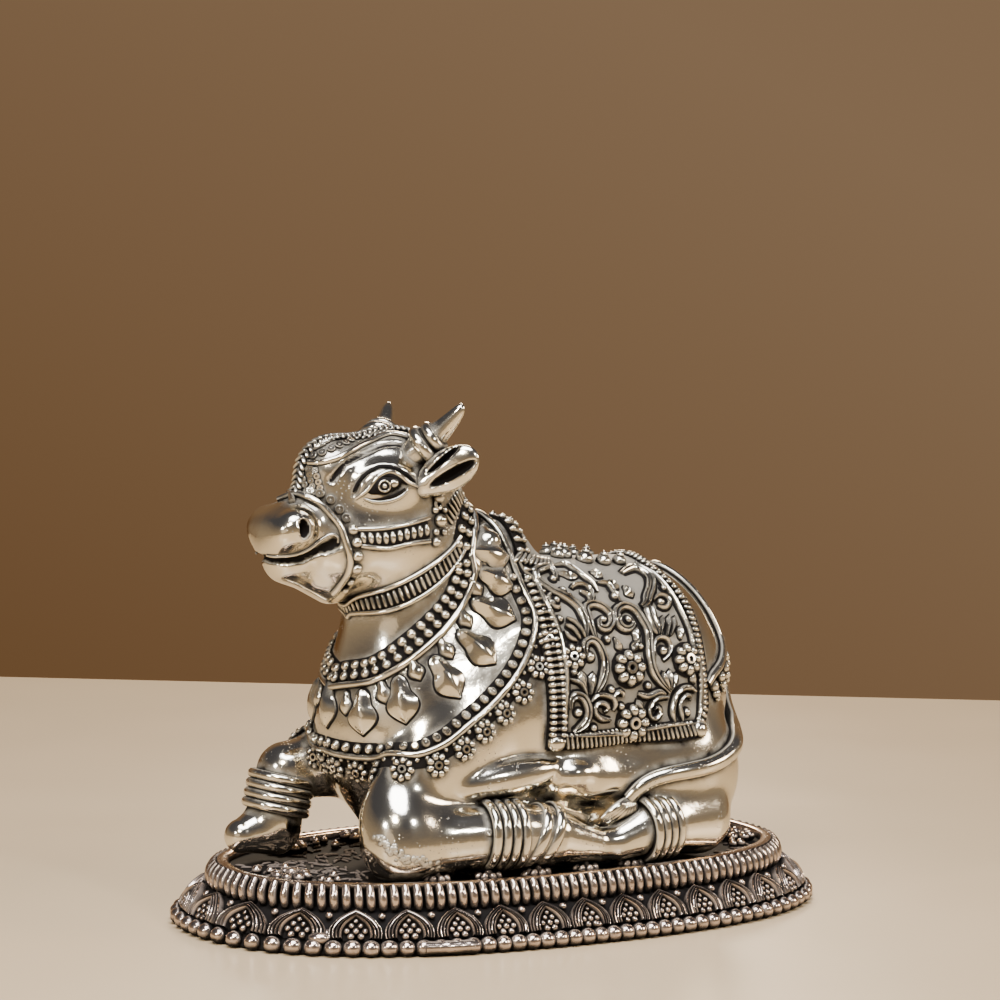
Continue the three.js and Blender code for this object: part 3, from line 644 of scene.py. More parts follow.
def depths(form, axes):
    """Distances at a lattice's points: at every point near the skin, and at every few points elsewhere."""
    sparse = [
        axis[np.minimum(np.arange(0, len(axis), STRIDE) + STRIDE // 2, len(axis) - 1)] for axis in axes]
    depth = form(np.stack(np.meshgrid(*sparse, indexing="ij"), -1))
    for k, axis in enumerate(axes):
        depth = np.repeat(depth, STRIDE, axis=k).take(np.arange(len(axis)), axis=k)
    # Places that may be nearer to the skin than their sparse point tells are measured themselves
    reach = 1.2 * STRIDE * max(np.diff(axis).max() for axis in axes) + 0.3
    near = np.argwhere(np.abs(depth) < reach)
    for start in range(0, len(near), BATCH):
        part = near[start:start + BATCH]
        depth[tuple(part.T)] = form(np.stack([axes[k][part[:, k]] for k in range(3)], -1))
    return depth


def net(form, *axes):
    """Points and four-sided faces of the skin of a form, one point in each lattice cell that it crosses."""
    depth = depths(form, axes)
    inside = depth < 0
    cell_shape = np.array(depth.shape) - 1
    keys, sums, quads = [], [], []
    for axis in range(3):
        low = [slice(None)] * 3
        high = [slice(None)] * 3
        low[axis], high[axis] = slice(0, -1), slice(1, None)
        crossing = np.argwhere(inside[tuple(low)] != inside[tuple(high)])
        if not len(crossing):
            continue
        ahead = crossing.copy()
        ahead[:, axis] += 1
        d0 = depth[tuple(crossing.T)]
        d1 = depth[tuple(ahead.T)]
        place = np.stack([axes[k][crossing[:, k]] for k in range(3)], -1).astype(float)
        step = axes[axis][ahead[:, axis]] - axes[axis][crossing[:, axis]]
        place[:, axis] += d0 / (d0 - d1) * step
        u, v = [(1, 2), (2, 0), (0, 1)][axis]
        cells = []
        for du, dv in ((1, 1), (0, 1), (0, 0), (1, 0)):
            cell = crossing.copy()
            cell[:, u] -= du
            cell[:, v] -= dv
            cell = np.clip(cell, 0, cell_shape - 1)
            key = (cell[:, 0] * cell_shape[1] + cell[:, 1]) * cell_shape[2] + cell[:, 2]
            cells.append(key)
            keys.append(key)
            sums.append(place)
        quad = np.stack(cells, -1)
        outward = d0 < 0
        quads.append(np.where(outward[:, None], quad, quad[:, ::-1]))
    keys = np.concatenate(keys)
    found, slot = np.unique(keys, return_inverse=True)
    sums = np.vstack(sums)
    number = np.bincount(slot)
    points = np.stack([np.bincount(slot, sums[:, k]) / number for k in range(3)], -1)
    for _ in range(3):
        slope = slope_at(points, form)
        step = -form(points) / np.maximum((slope * slope).sum(-1), 0.3)
        points = points + np.clip(step, -0.4, 0.4)[:, None] * slope
    return points, np.searchsorted(found, np.vstack(quads))


# The places of the ornaments: what goes through seen is in photo pixels, and the rest in mm

INNER_CORD = [
    (373.7, 681), (404.8, 664.4), (430.7, 643.6), (451.4, 620.3), (464.4, 599.6), (473.4, 573.7),
    (470.8, 555.5),
]
OUTER_CORD = [
    (378.9, 757.6), (417.7, 755), (443.6, 744.7), (469.5, 724), (495.4, 700.6), (516, 674.7),
    (529, 648.8), (534.3, 625.5), (533, 612.5), (525, 595.7),
]
INNER_NECKLACE = route([(-28.8, 0, 25.6)] + list(seen(INNER_CORD)) + [(-9.6, -4, 48.6), (-9.4, 0, 49.6)])
OUTER_NECKLACE = route([(-29.5, 0, 16.8)] + list(seen(OUTER_CORD)) + [(-4.6, -4.6, 44.6), (-6.2, 0, 47)])
CRUPPER = [
    (24.8, -15.6, 25.4), (26.1, -14.8, 26.4), (29.5, -12.2, 28.2), (31.7, -8.5, 30.7), (31.1, -7.5, 33.2),
    (29.7, -6, 36.2), (27, -3.4, 38.4), (25, 0, 39.8),
]
# The tail's root is buried under the crupper, and the rest lies on the rump
TAIL_ROOT, TAIL_BACK = (28.5, 0, 35.5), [(33.2, -0.3, 33.5), (35.4, -1.6, 27.5), (36.2, -4.6, 21)]
TAIL = [TAIL_ROOT] + list(lay(TAIL_BACK, 0.6)) + list(lay(seen([
    (731, 745), (722, 757), (706, 765.5), (688, 770), (668, 774), (650, 779.5), (637, 787), (628, 796),
]), 0.5))
# Groups of rings on the legs as [from, to, radius, number of rings]
ANKLETS = [
    ((-13.4, -16.4, 6.1), (-7.4, -17, 5.9), 4.5, 4), ((17, -16.9, 5.4), (11.4, -17.8, 5.1), 4.5, 4),
    ((-31.8, 8.8, 11.8), (-33.2, 8.6, 6.4), 4.4, 4), ((17, 15.8, 5.1), (12, 16.5, 4.7), 4.8, 2),
]


CLOTH_FRONT, CLOTH_REAR = -2.5, 22.1
# The cloth hangs round a line along the trunk at this height, by so many degrees to each side
CLOTH_MIDDLE, CLOTH_HANG = 22, 106.5


def cloth(s, t, lift=0.0):
    """A place on the saddle cloth: s runs from its front to its rear edge, t from the near to the far hem."""
    s, t = np.broadcast_arrays(np.asarray(s, float), np.asarray(t, float))
    over = np.abs(t)
    # The rear edge bows out down the flank and back in at the hem
    rise, fall = np.clip((over - 0.12) / 0.28, 0, 1), np.clip((over - 0.85) / 0.15, 0, 1)
    rear = CLOTH_REAR + 2.9 * rise * rise * (3 - 2 * rise) - 2 * fall * fall * (3 - 2 * fall)
    x = CLOTH_FRONT + (rear - CLOTH_FRONT) * s
    angle = np.radians(t * (CLOTH_HANG - 5 * s))
    way = np.stack([np.zeros_like(x), np.sin(angle), np.cos(angle)], -1)
    p = np.stack([x, np.zeros_like(x), np.full_like(x, CLOTH_MIDDLE)], -1)
    for _ in range(14):
        p = p + way * (lift - BODY(p))[..., None]
    return p


def on_skin(points, lift, pitch):
    """Points at an even pitch along a line that is laid on the skin, and the outward directions there."""
    curve = route(points)
    shares = np.linspace(0, 1, max(4, int(round(curve[1][-1] / pitch))))
    laid = lay(along(route(lay(along(curve, shares))), shares))
    outward = unit(slope_at(laid))
    return laid + outward * lift, outward


# Settings that a user would change

def srgb(value):
    """A hex colour as linear red, green, blue and alpha."""
    parts = [int(value[i:i + 2], 16) / 255 for i in (1, 3, 5)]
    return [c / 12.92 if c <= 0.04045 else ((c + 0.055) / 1.055) ** 2.4 for c in parts] + [1.0]


def a_length(name, description, mm):
    """A setting in units of length."""
    return bpy.props.FloatProperty(
        name=name, description=description, default=mm * MM, unit="LENGTH", precision=5)


def a_count(name, description, count, least):
    """A setting that is a whole number."""
    return bpy.props.IntProperty(name=name, description=description, default=count, min=least)


def a_colour(name, description, value):
    """A setting that is a colour, from its hex value."""
    return bpy.props.FloatVectorProperty(
        name=name, description=description, subtype="COLOR", size=4, default=srgb(value), min=0, max=1)


class NandiSizes(bpy.types.PropertyGroup):
    skin_pitch: a_length("Skin pitch", "Cell size of the bull's skin", 0.54)
    head_pitch: a_length("Head pitch", "Cell size on the head", 0.31)
    necklace_radius: a_length("Necklace radius", "Radius of the two necklace cords", 0.5)
    flower_diameter: a_length("Flower diameter", "Largest flower on the saddle cloth", 5.4)
    plinth_bead: a_length("Plinth bead", "Diameter of a bead round the plinth", 2.4)
    reeds: a_count("Reeds", "Reeds round the plinth", 136, 24)
    petals: a_count("Petals", "Lotus petals round the plinth", 33, 8)
    beads: a_count("Beads", "Beads round the plinth", 101, 24)


class NandiColours(bpy.types.PropertyGroup):
    silver: a_colour("Silver", "Polished high places of the bull", "#e3dac6")
    coppery: a_colour("Coppery silver", "Polished high places of the plinth", "#d3bfae")
    oxide: a_colour("Oxide", "Blackened recesses", "#14110f")
    table: a_colour("Floor", "Pale floor", "#c2ab88")


# Materials

def add_node(tree, kind, settings=None, links=None):
    """One node with its settings and the sockets that feed its inputs."""
    node = tree.nodes.new(kind)
    for key, value in (settings or {}).items():
        if isinstance(key, str) and hasattr(node, key):
            setattr(node, key, value)
        else:
            node.inputs[key].default_value = value
    for key, socket in (links or {}).items():
        tree.links.new(socket, node.inputs[key])
    return node


def ranged(tree, value, low, high, at_low=0.0, at_high=1.0):
    """A value brought from one range, in which it is kept, to another."""
    settings = {"From Min": low, "From Max": high, "To Min": at_low, "To Max": at_high}
    return add_node(tree, "ShaderNodeMapRange", settings, {"Value": value}).outputs[0]


def blended(tree, share, low, high):
    """A mix of two colours, each a value or a socket."""
    mix = add_node(tree, "ShaderNodeMix", {"data_type": "RGBA"}, {0: share})
    for place, colour in ((6, low), (7, high)):
        if isinstance(colour, bpy.types.NodeSocket):
            tree.links.new(colour, mix.inputs[place])
        else:
            mix.inputs[place].default_value = colour
    return mix.outputs[2]


def oxidised_silver(name, polish, oxide, reach_mm, pit_mm, shine):
    """Cast white metal with a polished plate, dipped black and wiped: high places shine like a mirror,
    and the black stays in the recesses and the pits."""
    material = bpy.data.materials.new(name)
    material.use_nodes = True
    tree = material.node_tree
    shader = tree.nodes["Principled BSDF"]
    shader.inputs["Specular IOR Level"].default_value = 0.1
    where = {"Vector": add_node(tree, "ShaderNodeTexCoord").outputs["Object"]}
    recess = add_node(tree, "ShaderNodeAmbientOcclusion", {"samples": 4, "Distance": reach_mm * MM})
    blot = add_node(tree, "ShaderNodeTexNoise", {"Scale": 1 / (2.2 * MM), "Detail": 4.0}, where)
    cells = add_node(tree, "ShaderNodeTexVoronoi", {"Scale": 1 / (pit_mm * MM), "Randomness": 1.0}, where)
    patches = add_node(tree, "ShaderNodeTexNoise", {"Scale": 1 / (9 * MM), "Detail": 2.0}, where)
    # Pits of the casting: the middles of small cells, in patches
    core = ranged(tree, cells.outputs["Distance"], 0.1, 0.2, 1.0, 0.0)
    zone = ranged(tree, patches.outputs["Fac"], 0.52, 0.62)
    pits = add_node(tree, "ShaderNodeMath", {"operation": "MULTIPLY"}, {0: core, 1: zone})
    # Black where little light gets in, with an uneven border
    uneven = add_node(tree, "ShaderNodeMath", {"operation": "MULTIPLY_ADD", 1: 0.2, 2: -0.08},
                      {0: blot.outputs["Fac"]})
    open_share = add_node(tree, "ShaderNodeMath", {"operation": "ADD"},
                          {0: recess.outputs["AO"], 1: uneven.outputs[0]})
    black = ranged(tree, open_share.outputs[0], 0.73, 0.9, 1.0, 0.0)
    # Grounds that the polishing wheel never reached keep all their black
    soot = add_node(tree, "ShaderNodeAttribute", {"attribute_name": "soot"})
    hidden = add_node(tree, "ShaderNodeMath", {"operation": "MAXIMUM"}, {0: black, 1: soot.outputs["Fac"]})
    dark = add_node(tree, "ShaderNodeMath", {"operation": "MAXIMUM"},
                    {0: hidden.outputs[0], 1: pits.outputs[0]})
    tree.links.new(blended(tree, dark.outputs[0], polish, oxide), shader.inputs["Base Color"])
    # The black is dull and hardly a metal, the plate is smooth and all metal
    for socket, at_plate, at_black in (("Roughness", shine, 0.72), ("Metallic", 1.0, 0.05)):
        tree.links.new(ranged(tree, dark.outputs[0], 0, 1, at_plate, at_black), shader.inputs[socket])
    # Fine grain of the cast surface, and the depth of the pits
    grain = add_node(tree, "ShaderNodeTexNoise", {"Scale": 1 / (1.4 * MM), "Detail": 3.0}, where)
    height = add_node(tree, "ShaderNodeMath", {"operation": "MULTIPLY_ADD", 1: -1.2},
                      {0: pits.outputs[0], 2: grain.outputs["Fac"]})
    bump = add_node(tree, "ShaderNodeBump", {"Strength": 0.32, "Distance": 0.1 * MM},
                    {"Height": height.outputs[0]})
    tree.links.new(bump.outputs["Normal"], shader.inputs["Normal"])
    return material


def bull_silver():
    """The bull's plate: warm white and bright, with fine pits."""
    found = bpy.data.materials.get("Oxidised silver plate")
    colours = bpy.context.scene.nandi_colours
    return found or oxidised_silver("Oxidised silver plate", colours.silver, colours.oxide, 1.3, 0.5, 0.13)


def plinth_silver():
    """The plinth's plate: slightly coppery, and duller than the bull's."""
    found = bpy.data.materials.get("Oxidised coppery plate")
    colours = bpy.context.scene.nandi_colours
    return found or oxidised_silver("Oxidised coppery plate", colours.coppery, colours.oxide, 1.4, 0.6, 0.18)


def painted_table(colour):
    """Lacquered board: pale, smooth and slightly glossy, so the figure shows in it faintly."""
    material = bpy.data.materials.new("Pale lacquered board")
    material.use_nodes = True
    tree = material.node_tree
    shader = tree.nodes["Principled BSDF"]
    shader.inputs["Base Color"].default_value = colour
    shader.inputs["IOR"].default_value = 1.5
    # Broad wiping marks in the lacquer
    where = {"Vector": add_node(tree, "ShaderNodeTexCoord").outputs["Object"]}
    wipe = add_node(tree, "ShaderNodeTexNoise", {"Scale": 1 / (40 * MM), "Detail": 2.0}, where)
    tree.links.new(ranged(tree, wipe.outputs["Fac"], 0, 1, 0.26, 0.36), shader.inputs["Roughness"])
    return material


# The stage

# The board under the figure: how far it reaches from the middle, in mm
BOARD_HALF_WIDTH = 420
BOARD_BEHIND = 224
BOARD_BEFORE = 320
BOARD_THICKNESS = 12

# Lamps as [name, place, size, power in watts, colour], in mm, and the place at which all of them point
LAMPS = [
    ("Overhead softbox", (-90, -140, 470), (330, 260), 4.2, "#eef2ff"),
    ("Key light", (-330, -300, 400), (130, 130), 2.6, "#fff6e8"),
    ("Fill light", (380, -260, 240), (170, 150), 1.3, "#ffeeda"),
    ("Small right lamp", (120, -430, 330), (50, 50), 0.9, "#ffffff"),
    ("Small left lamp", (-430, -120, 210), (50, 50), 0.7, "#ffffff"),
    ("Left card", (-430, -230, 105), (280, 170), 0.07, "#ffe8c8"),
    ("Rear lamp", (260, 400, 260), (160, 130), 1.3, "#ffe9cc"),
]
LIT_PLACE = (0, 0, 35)
# The brown wall behind the figure goes from its dark lower left to its pale upper right. Elsewhere the room
# goes from cream, low down, to a dim cool grey
WALL_COLOURS = "#6a4c2f", "#856b50"
ROOM_COLOURS = "#a8957c", "#4c4c52"


def lamp(name, place, size, watts, colour):
    """A soft round lamp that points at the figure."""
    light = bpy.data.lights.new(name, "AREA")
    light.shape = "ELLIPSE"
    light.size, light.size_y = size[0] * MM, size[1] * MM
    light.energy = watts
    light.color = srgb(colour)[:3]
    lamp_object = bpy.data.objects.new(name, light)
    lamp_object.location = Vector(place) * MM
    way = Vector(LIT_PLACE) * MM - lamp_object.location
    lamp_object.rotation_euler = way.to_track_quat("-Z", "Y").to_euler()
    bpy.context.scene.collection.objects.link(lamp_object)


class NANDI_OT_stage(bpy.types.Operator):
    """Makes the pale floor, the soft lights and the camera at the photograph's angle"""
    bl_idname = "nandi.stage"
    bl_label = "Stage"

    def execute(self, context):
        right, up, back = photo_axes()
        toward = unit(back * (1, 1, 0))
        sideways = np.array([-toward[1], toward[0], 0])
        board = [
            tuple((x * sideways + y * toward + (0, 0, z)) * MM) for z in (-BOARD_THICKNESS, 0)
            for x in (-BOARD_HALF_WIDTH, BOARD_HALF_WIDTH) for y in (-BOARD_BEHIND, BOARD_BEFORE)]
        mesh = bpy.data.meshes.new("Floor")
        mesh.from_pydata(board, [], [
            (0, 1, 3, 2), (4, 6, 7, 5), (0, 4, 5, 1), (2, 3, 7, 6), (0, 2, 6, 4), (1, 5, 7, 3)])
        mesh.materials.append(painted_table(context.scene.nandi_colours.table))
        table = bpy.data.objects.new("Floor", mesh)
        context.scene.collection.objects.link(table)

        camera = bpy.data.cameras.new("Camera")
        camera.sensor_width = SENSOR
        camera.lens = FOCAL_PIXELS / PHOTO_PIXELS * SENSOR
        camera.clip_start, camera.clip_end = 0.02, 5
        viewer = bpy.data.objects.new("Camera", camera)
        viewer.location = Vector(LOOKED_AT + back * CAMERA_DISTANCE) * MM
        viewer.rotation_mode = "QUATERNION"
        viewer.rotation_quaternion = Matrix(np.stack([right, up, back], -1).tolist()).to_quaternion()
        context.scene.collection.objects.link(viewer)
        context.scene.camera = viewer

        for values in LAMPS:
            lamp(*values)

        world = context.scene.world or bpy.data.worlds.new("World")
        context.scene.world = world
        world.use_nodes = True
        tree = world.node_tree
        background = tree.nodes["Background"]
        way = add_node(tree, "ShaderNodeTexCoord").outputs["Generated"]
        onward = add_node(
            tree, "ShaderNodeVectorMath", {"operation": "DOT_PRODUCT", 1: tuple(-back)}, {0: way})
        parts = add_node(tree, "ShaderNodeSeparateXYZ", None, {0: way})
        light_side = add_node(
            tree, "ShaderNodeVectorMath", {"operation": "DOT_PRODUCT", 1: tuple(0.6 * right + up)}, {0: way})
        room = blended(
            tree, ranged(tree, parts.outputs[2], -0.05, 0.5), *(srgb(value) for value in ROOM_COLOURS))
        wall = blended(
            tree, ranged(tree, light_side.outputs[1], -0.16, 0.16), *(srgb(value) for value in WALL_COLOURS))
        tone = blended(tree, ranged(tree, onward.outputs[1], 0.45, 0.8), room, wall)
        tree.links.new(tone, background.inputs[0])
        background.inputs[1].default_value = 1.0
        return {"FINISHED"}


# The bull

class NANDI_OT_bull(bpy.types.Operator):
    """Casts the plain bull: head, neck, hump, trunk and folded legs in one skin"""
    bl_idname = "nandi.bull"
    bl_label = "Bull"

    def execute(self, context):
        sizes = context.scene.nandi_sizes
        fine, coarse = sizes.head_pitch / MM, sizes.skin_pitch / MM
        # The lattice spans the bull, in mm, and is fine about the head
        xs = marks(-44.5, 39, fine, coarse, -16)
        ys = marks(-23.03, 23, coarse, coarse, 0)
        zs = marks(-1.02, 66, coarse, fine, 41)
        skin = Casting(BULL_SEAT)
        points, faces = net(cast_skin, xs, ys, zs)
        # Black stays wherever the finished skin lies below the uncut one
        skin.add(points, faces, np.clip(-5 * UNCUT(points) - 0.6, 0, 1))
        skin.piece("bull_casting", bull_silver(), BULL_SLOT, BULL, smooth_angle=180)
        return {"FINISHED"}


class NANDI_OT_face(bpy.types.Operator):
    """Adds the lidded eyes, the lip, the ears and the horns"""
    bl_idname = "nandi.face"
    bl_label = "Eyes, ears and horns"

    IRIS = (384, 486)
    # Lines of the face as photo pixels, with the half width in mm
    LINES = [
        ([(354.9, 498.9), (366.3, 491), (373.3, 482.3), (380.4, 475.3), (389.1, 471.8), (397.9, 474.4),
          (408.4, 482.3), (418.9, 487.5)], 0.36),
        ([(364.6, 498.9), (373.3, 501.6), (385.6, 501.6), (397.9, 498), (406.7, 491), (408.4, 486.7)], 0.3),
        ([(267, 555.3), (280, 556), (298, 553.5), (310, 548), (321, 540), (332, 534.5), (338, 537),
          (338, 543)], 0.28),
    ]
    # Black lines inside the lids and in the fold above them
    SHADES = [
        [(358, 497), (367, 489), (376, 479.5), (386, 475), (397, 477.5), (407, 484.5)],
        [(366, 500), (380, 499.5), (395, 495), (405, 488.5)],
        [(353.5, 492), (359.5, 480.5), (368.5, 471.5), (381, 466), (393, 467), (404, 472), (415, 482)],
    ]
    # The eyeball, the iris, a bright ring on it and a bead in that: [shape, how far out, forward, size, soot]
    EYE = [
        (EYEBALL, -0.6, (1, 0, 0.27), (5.3, 2.6, 1.7), 1.0),
        (EYEBALL, 0.1, (1, 0, 0), (2.7, 2.5, 0.7), 1.0),
        (ring(0.16, 28, 10), 0.4, (1, 0, 0), (1.9, 1.8, 2.2), 0.0),
        (FINE_BEAD, 0.36, (1, 0, 0), (0.75, 0.75, 0.75), 0.0),
    ]
    # A painted highlight behind the iris: a polished bump left unblackened in the black eye
    PAINTED_HIGHLIGHT = (393.5, 483.5)
    # A horn as [radius, distance along it], in mm, and how far it bends for each square mm of its length
    HORN = [
        (0, -1.8), (1.9, -1.8), (2.3, 1), (2.1, 3), (1.72, 4.6), (1.55, 5.6), (1.36, 6.8), (1.15, 7.9),
        (0.94, 8.9), (0.72, 9.4), (0.42, 9.8), (0, 9.95),
    ]
    HORN_BEND = 0.012
    # The foot and the tip of each horn, in mm
    HORN_ENDS = [((-19, -5, 59.2), (-13.4, -9.9, 65.2)), ((-19.6, 5, 59.2), (-14, 11, 64))]
    # The double roll of skin from which the horn rises: [distance along the horn, outer diameter in mm]
    HORN_ROLLS = [(1.9, 6.6), (3.7, 5.5)]

    def execute(self, context):
        face = Casting(BULL_SEAT)
        iris = seen([self.IRIS])
        for side in (-1, 1):
            lines = traced([line for line, _ in self.LINES], side, 0.05, 0.25)
            for (points, out), (_, half_width) in zip(lines, self.LINES):
                face.sweep(points, out, half_width, half_width, 10, taper=spindle(len(points)) ** 0.5)
            for points, out in traced(self.SHADES, side, 0.06, 0.25):
                face.ground(points, out, 0.24, spindle(len(points)) ** 0.5)
            centre, out = on_side(iris, side)
            for shape, reach, forward, size, soot in self.EYE:
                face.stamp(shape, centre + out * reach, out, forward, size, soot)
            # The painted highlight: an unblackened bump set where a glint lights the eye
            highlight_spot, out = on_side(seen([self.PAINTED_HIGHLIGHT]), side)
            face.stamp(ball(16, 10), highlight_spot + out * 0.08, out, (1, 0, 0.2), (1.5, 1.15, 0.8))
        self.ears(face)
        self.horns(face)
        face.piece("eyes_ears_and_horns", bull_silver(), BULL_SLOT)
        return {"FINISHED"}

    @staticmethod
    def ears(face):
        """Leaf-shaped ears, hollow on their face, with two deep grooves beside a rib."""
        uncut = melt(egg(0, 0, 0, 4.8, 3, 1.4), (1.2, egg(-4.4, 0, -0.4, 2.6, 1.7, 1.7)))
        leaf_form = carve(
            uncut,
            (0.2, egg(0.5, 1.65, 1.2, 3.4, 0.45, 1.5, 0, 9)), (0.2, egg(0.6, -0.8, 1.2, 4, 0.8, 1.6, 0, -3)),
        )
        points, quads = net(
            leaf_form, np.arange(-7.4, 5.6, 0.2), np.arange(-3.9, 3.9, 0.2), np.arange(-2.6, 2.4, 0.19))
        for side in (-1, 1):
            long = unit(np.array([4.6, 4.4 * side, 4.2]))
            out = np.array([-0.62, 0.62 * side, 0])
            out = unit(out - (out @ long) * long)
            across = np.cross(out, long)
            middle = np.array([-16, 10.6 * side, 57.6]) - 0.6 * long
            laid = points @ np.stack([long, across * -side, out]) + middle
            face.add(laid, quads if side < 0 else quads[:, ::-1], np.clip(-3 * uncut(points) - 0.8, 0, 1))

    def horns(self, face):
        """Short horns, each out of a double roll of skin."""
        turned, faces = lathe(self.HORN, 26)
        hoop, hoop_faces = ring(0.27, 40, 16)
        for foot, tip in self.HORN_ENDS:
            foot = np.array(foot)
            side = math.copysign(1, foot[1])
            lean = np.array([0.35, 0.2 * side, -0.9])
            way = unit(np.array(tip) - foot)
            across = unit(np.cross(lean, way))
            up = np.cross(way, across)
            sag = self.HORN_BEND * np.maximum(turned[:, 2], 0) ** 2
            laid = foot + turned[:, :1] * across + (turned[:, 1:2] - sag[:, None]) * up + turned[:, 2:] * way
            face.add(laid, faces)
            for distance, diameter in self.HORN_ROLLS:
                roll = hoop * diameter + (0, 0, distance)
                face.add(foot + roll @ np.stack([across, up, way]), hoop_faces)


class NANDI_OT_harness(bpy.types.Operator):
    """Lays the noseband, cheek straps, brow line, rings, bead strings and neck band on the head"""
    bl_idname = "nandi.harness"
    bl_label = "Head harness"

    CHEEK_HIGH = [(357, 530), (380.4, 528.8), (406.7, 524.4), (428, 518)]
    CHEEK_LOW = [(361, 546), (389, 548), (408.4, 543.7), (429, 541)]
    BAND_HIGH = [(352, 598), (389, 587.5), (415.4, 575.3), (436.5, 561.2), (450.5, 549), (459.3, 536.7)]
    BAND_LOW = [(352, 613.9), (389, 610.4), (415.4, 599.8), (441.8, 580.5), (457.5, 561.2), (464, 549)]
    # Where the two cords of the band cross the middle of the throat
    THROAT_HIGH, THROAT_LOW = (-26.9, 0, 37.9), (-26.4, 0, 35.6)
    NOSEBAND = [
        (277, 496), (292.6, 495.4), (308.4, 498), (320.7, 505), (331.2, 515.6), (340, 526), (345.3, 540),
        (349.6, 552.5), (350.5, 564.7), (346, 577), (338, 587.5), (333, 592.8),
    ]
    BROW = [
        (309.3, 463), (319, 463), (334.7, 459.5), (348.8, 452.5), (362.8, 445.4), (378.6, 438.4),
        (390.9, 434.9), (403.2, 436.7), (413.7, 441.9), (426, 447.2),
    ]
    # Cords as photo pixels, with the half width in mm
    CORDS = [(CHEEK_HIGH, 0.36), (CHEEK_LOW, 0.36), (NOSEBAND, 0.5), (BROW, 0.42)]
    PLAIT = [(319, 448), (336, 439), (354, 431), (370, 426), (386, 423)]
    DROPS = 10
    BARS = 26
    RING_ROW = [(313.7, 456), (324, 452.5), (345, 443.7), (362.8, 435), (373.3, 431.4), (386, 427)]
    RINGS = [(311, 491), (319.8, 493.7), (330.4, 499.8), (339, 509.5), (346, 518.2)]
    # Beads as photo pixels with their diameter in mm
    BEADS = [
        ((353, 530.5), 1.5), ((356.7, 542.8), 1.5), ((357.5, 556), 1.5), ((356.7, 568.2), 1.5),
        ((350.5, 580.5), 1.1), ((345, 588), 1.1), ((432, 484), 1.3), ((437.4, 496.3), 1.9),
        ((433.9, 510.4), 1), ((442.6, 510.4), 1), ((439, 520.9), 2), ((434.7, 532.3), 1),
        ((442.6, 532.3), 1), ((435, 542), 1.4),
    ]
    EAR_RING = (437.4, 504)
    # The net of small rings on the bridge of the nose: its first ring and the steps across and down
    BRIDGE_START = np.array([294, 466])
    BRIDGE_ACROSS, BRIDGE_DOWN = np.array([7.2, 1.5]), np.array([1.5, 5.8])
    EAR_STRAP = [(447, 519), (454, 505), (461, 490)]
    # The line of the plait over the crown, in mm
    CROWN = [
        (-35.4, 0, 54), (-34.8, 0, 57), (-32.6, 0, 60), (-28.5, 0, 61.6), (-22, 0, 62.3), (-16, 0, 60.5),
        (-13, 0, 57),
    ]

    def execute(self, context):
        straps = Casting(BULL_SEAT)
        for side in (-1, 1):
            self.cords(straps, side)
            self.rows(straps, side)
            self.beads(straps, side)
        self.crown(straps)
        straps.piece("head_harness", bull_silver(), BULL_SLOT)
        return {"FINISHED"}

    def cords(self, straps, side):
        """The noseband, the cheek straps, the brow line and the two cords of the neck band."""
        for (points, out), (_, half_width) in zip(
                traced([line for line, _ in self.CORDS], side, 0.15, 0.35), self.CORDS):
            straps.sweep(points, out, half_width, half_width + 0.05, 10)
        for start, line in ((self.THROAT_HIGH, self.BAND_HIGH), (self.THROAT_LOW, self.BAND_LOW)):
            points, out = on_side(along(route([start] + list(seen(line))), np.linspace(0, 1, 70)), side, 0.15)
            straps.sweep(points, out, 0.36, 0.42, 10)

    def between(self, high, low, count, side):
        """Places halfway between two lines of points, with the outward and the downward directions there."""
        shares = (np.arange(count) + 0.5) / count
        ends = [along(route(line), shares) for line in (high, low)]
        spots, out = on_side((ends[0] + ends[1]) / 2, side, 0.15)
        down = ends[1] - ends[0]
        return spots, out, down if side < 0 else flipped(down)

    def rows(self, straps, side):
        """What lies between and beside the cords: drops, bars, the plaits and the row of rings."""
        cheek = seen(self.CHEEK_HIGH), seen(self.CHEEK_LOW)
        points, out, _ = self.between(*cheek, 40, side)
        straps.ground(points, out, 1.1)
        spots, out, down = self.between(*cheek, self.DROPS, side)
        straps.stamp(FINE_BEAD, spots, out, down, (1.8, 0.95, 1.1))
        band = [self.THROAT_HIGH] + list(seen(self.BAND_HIGH)), [self.THROAT_LOW] + list(seen(self.BAND_LOW))
        points, out, _ = self.between(*band, 70, side)
        straps.ground(points, out, 1.0)
        spots, out, down = self.between(*band, self.BARS, side)
        straps.stamp(BAR, spots, out, down, (2.1, 0.6, 0.95))
        points, out = traced([self.PLAIT], side, 0.1, 0.8)[0]
        straps.stamp(BAR, points, out, (0.6, 0.4 * side, 0.7), (2.2, 0.5, 0.8))
        points, out = traced([self.EAR_STRAP], side, 0.15, 0.8)[0]
        straps.stamp(BAR, points, out, np.cross(out, np.gradient(points, axis=0)), (2.4, 0.5, 0.8))
        points, out = traced([self.RING_ROW], side, 0.2, 1.22)[0]
        straps.stamp(CIRCLET, points, out, (1, 0, 0), (1.25, 1.25, 1.0))

    def beads(self, straps, side):
        """Single beads and rings, and the net of rings on the bridge of the nose."""
        spots, out = on_side(seen([pixel for pixel, _ in self.BEADS]), side, 0.3)
        straps.stamp(FINE_BEAD, spots, out, (0, 0, 1), [(size, size, 0.9 * size) for _, size in self.BEADS])
        spots, out = on_side(seen(self.RINGS), side, 0.2)
        straps.stamp(CIRCLET, spots, out, (1, 0, 0), (1.4, 1.4, 1.1))
        bridge = [
            self.BRIDGE_START + i * self.BRIDGE_ACROSS + j * self.BRIDGE_DOWN
            for i in range(4) for j in range(5)]
        spots, out = on_side(seen(bridge), side, 0.15)
        straps.stamp(CIRCLET, spots, out, (1, 0, 0), (1.05, 1.05, 0.9))
        spot, out = on_side(seen([self.EAR_RING]), side, 0.3)
        straps.stamp(ring(0.3), spot, out, (1, 0, 0), (1.9, 1.9, 1.2))

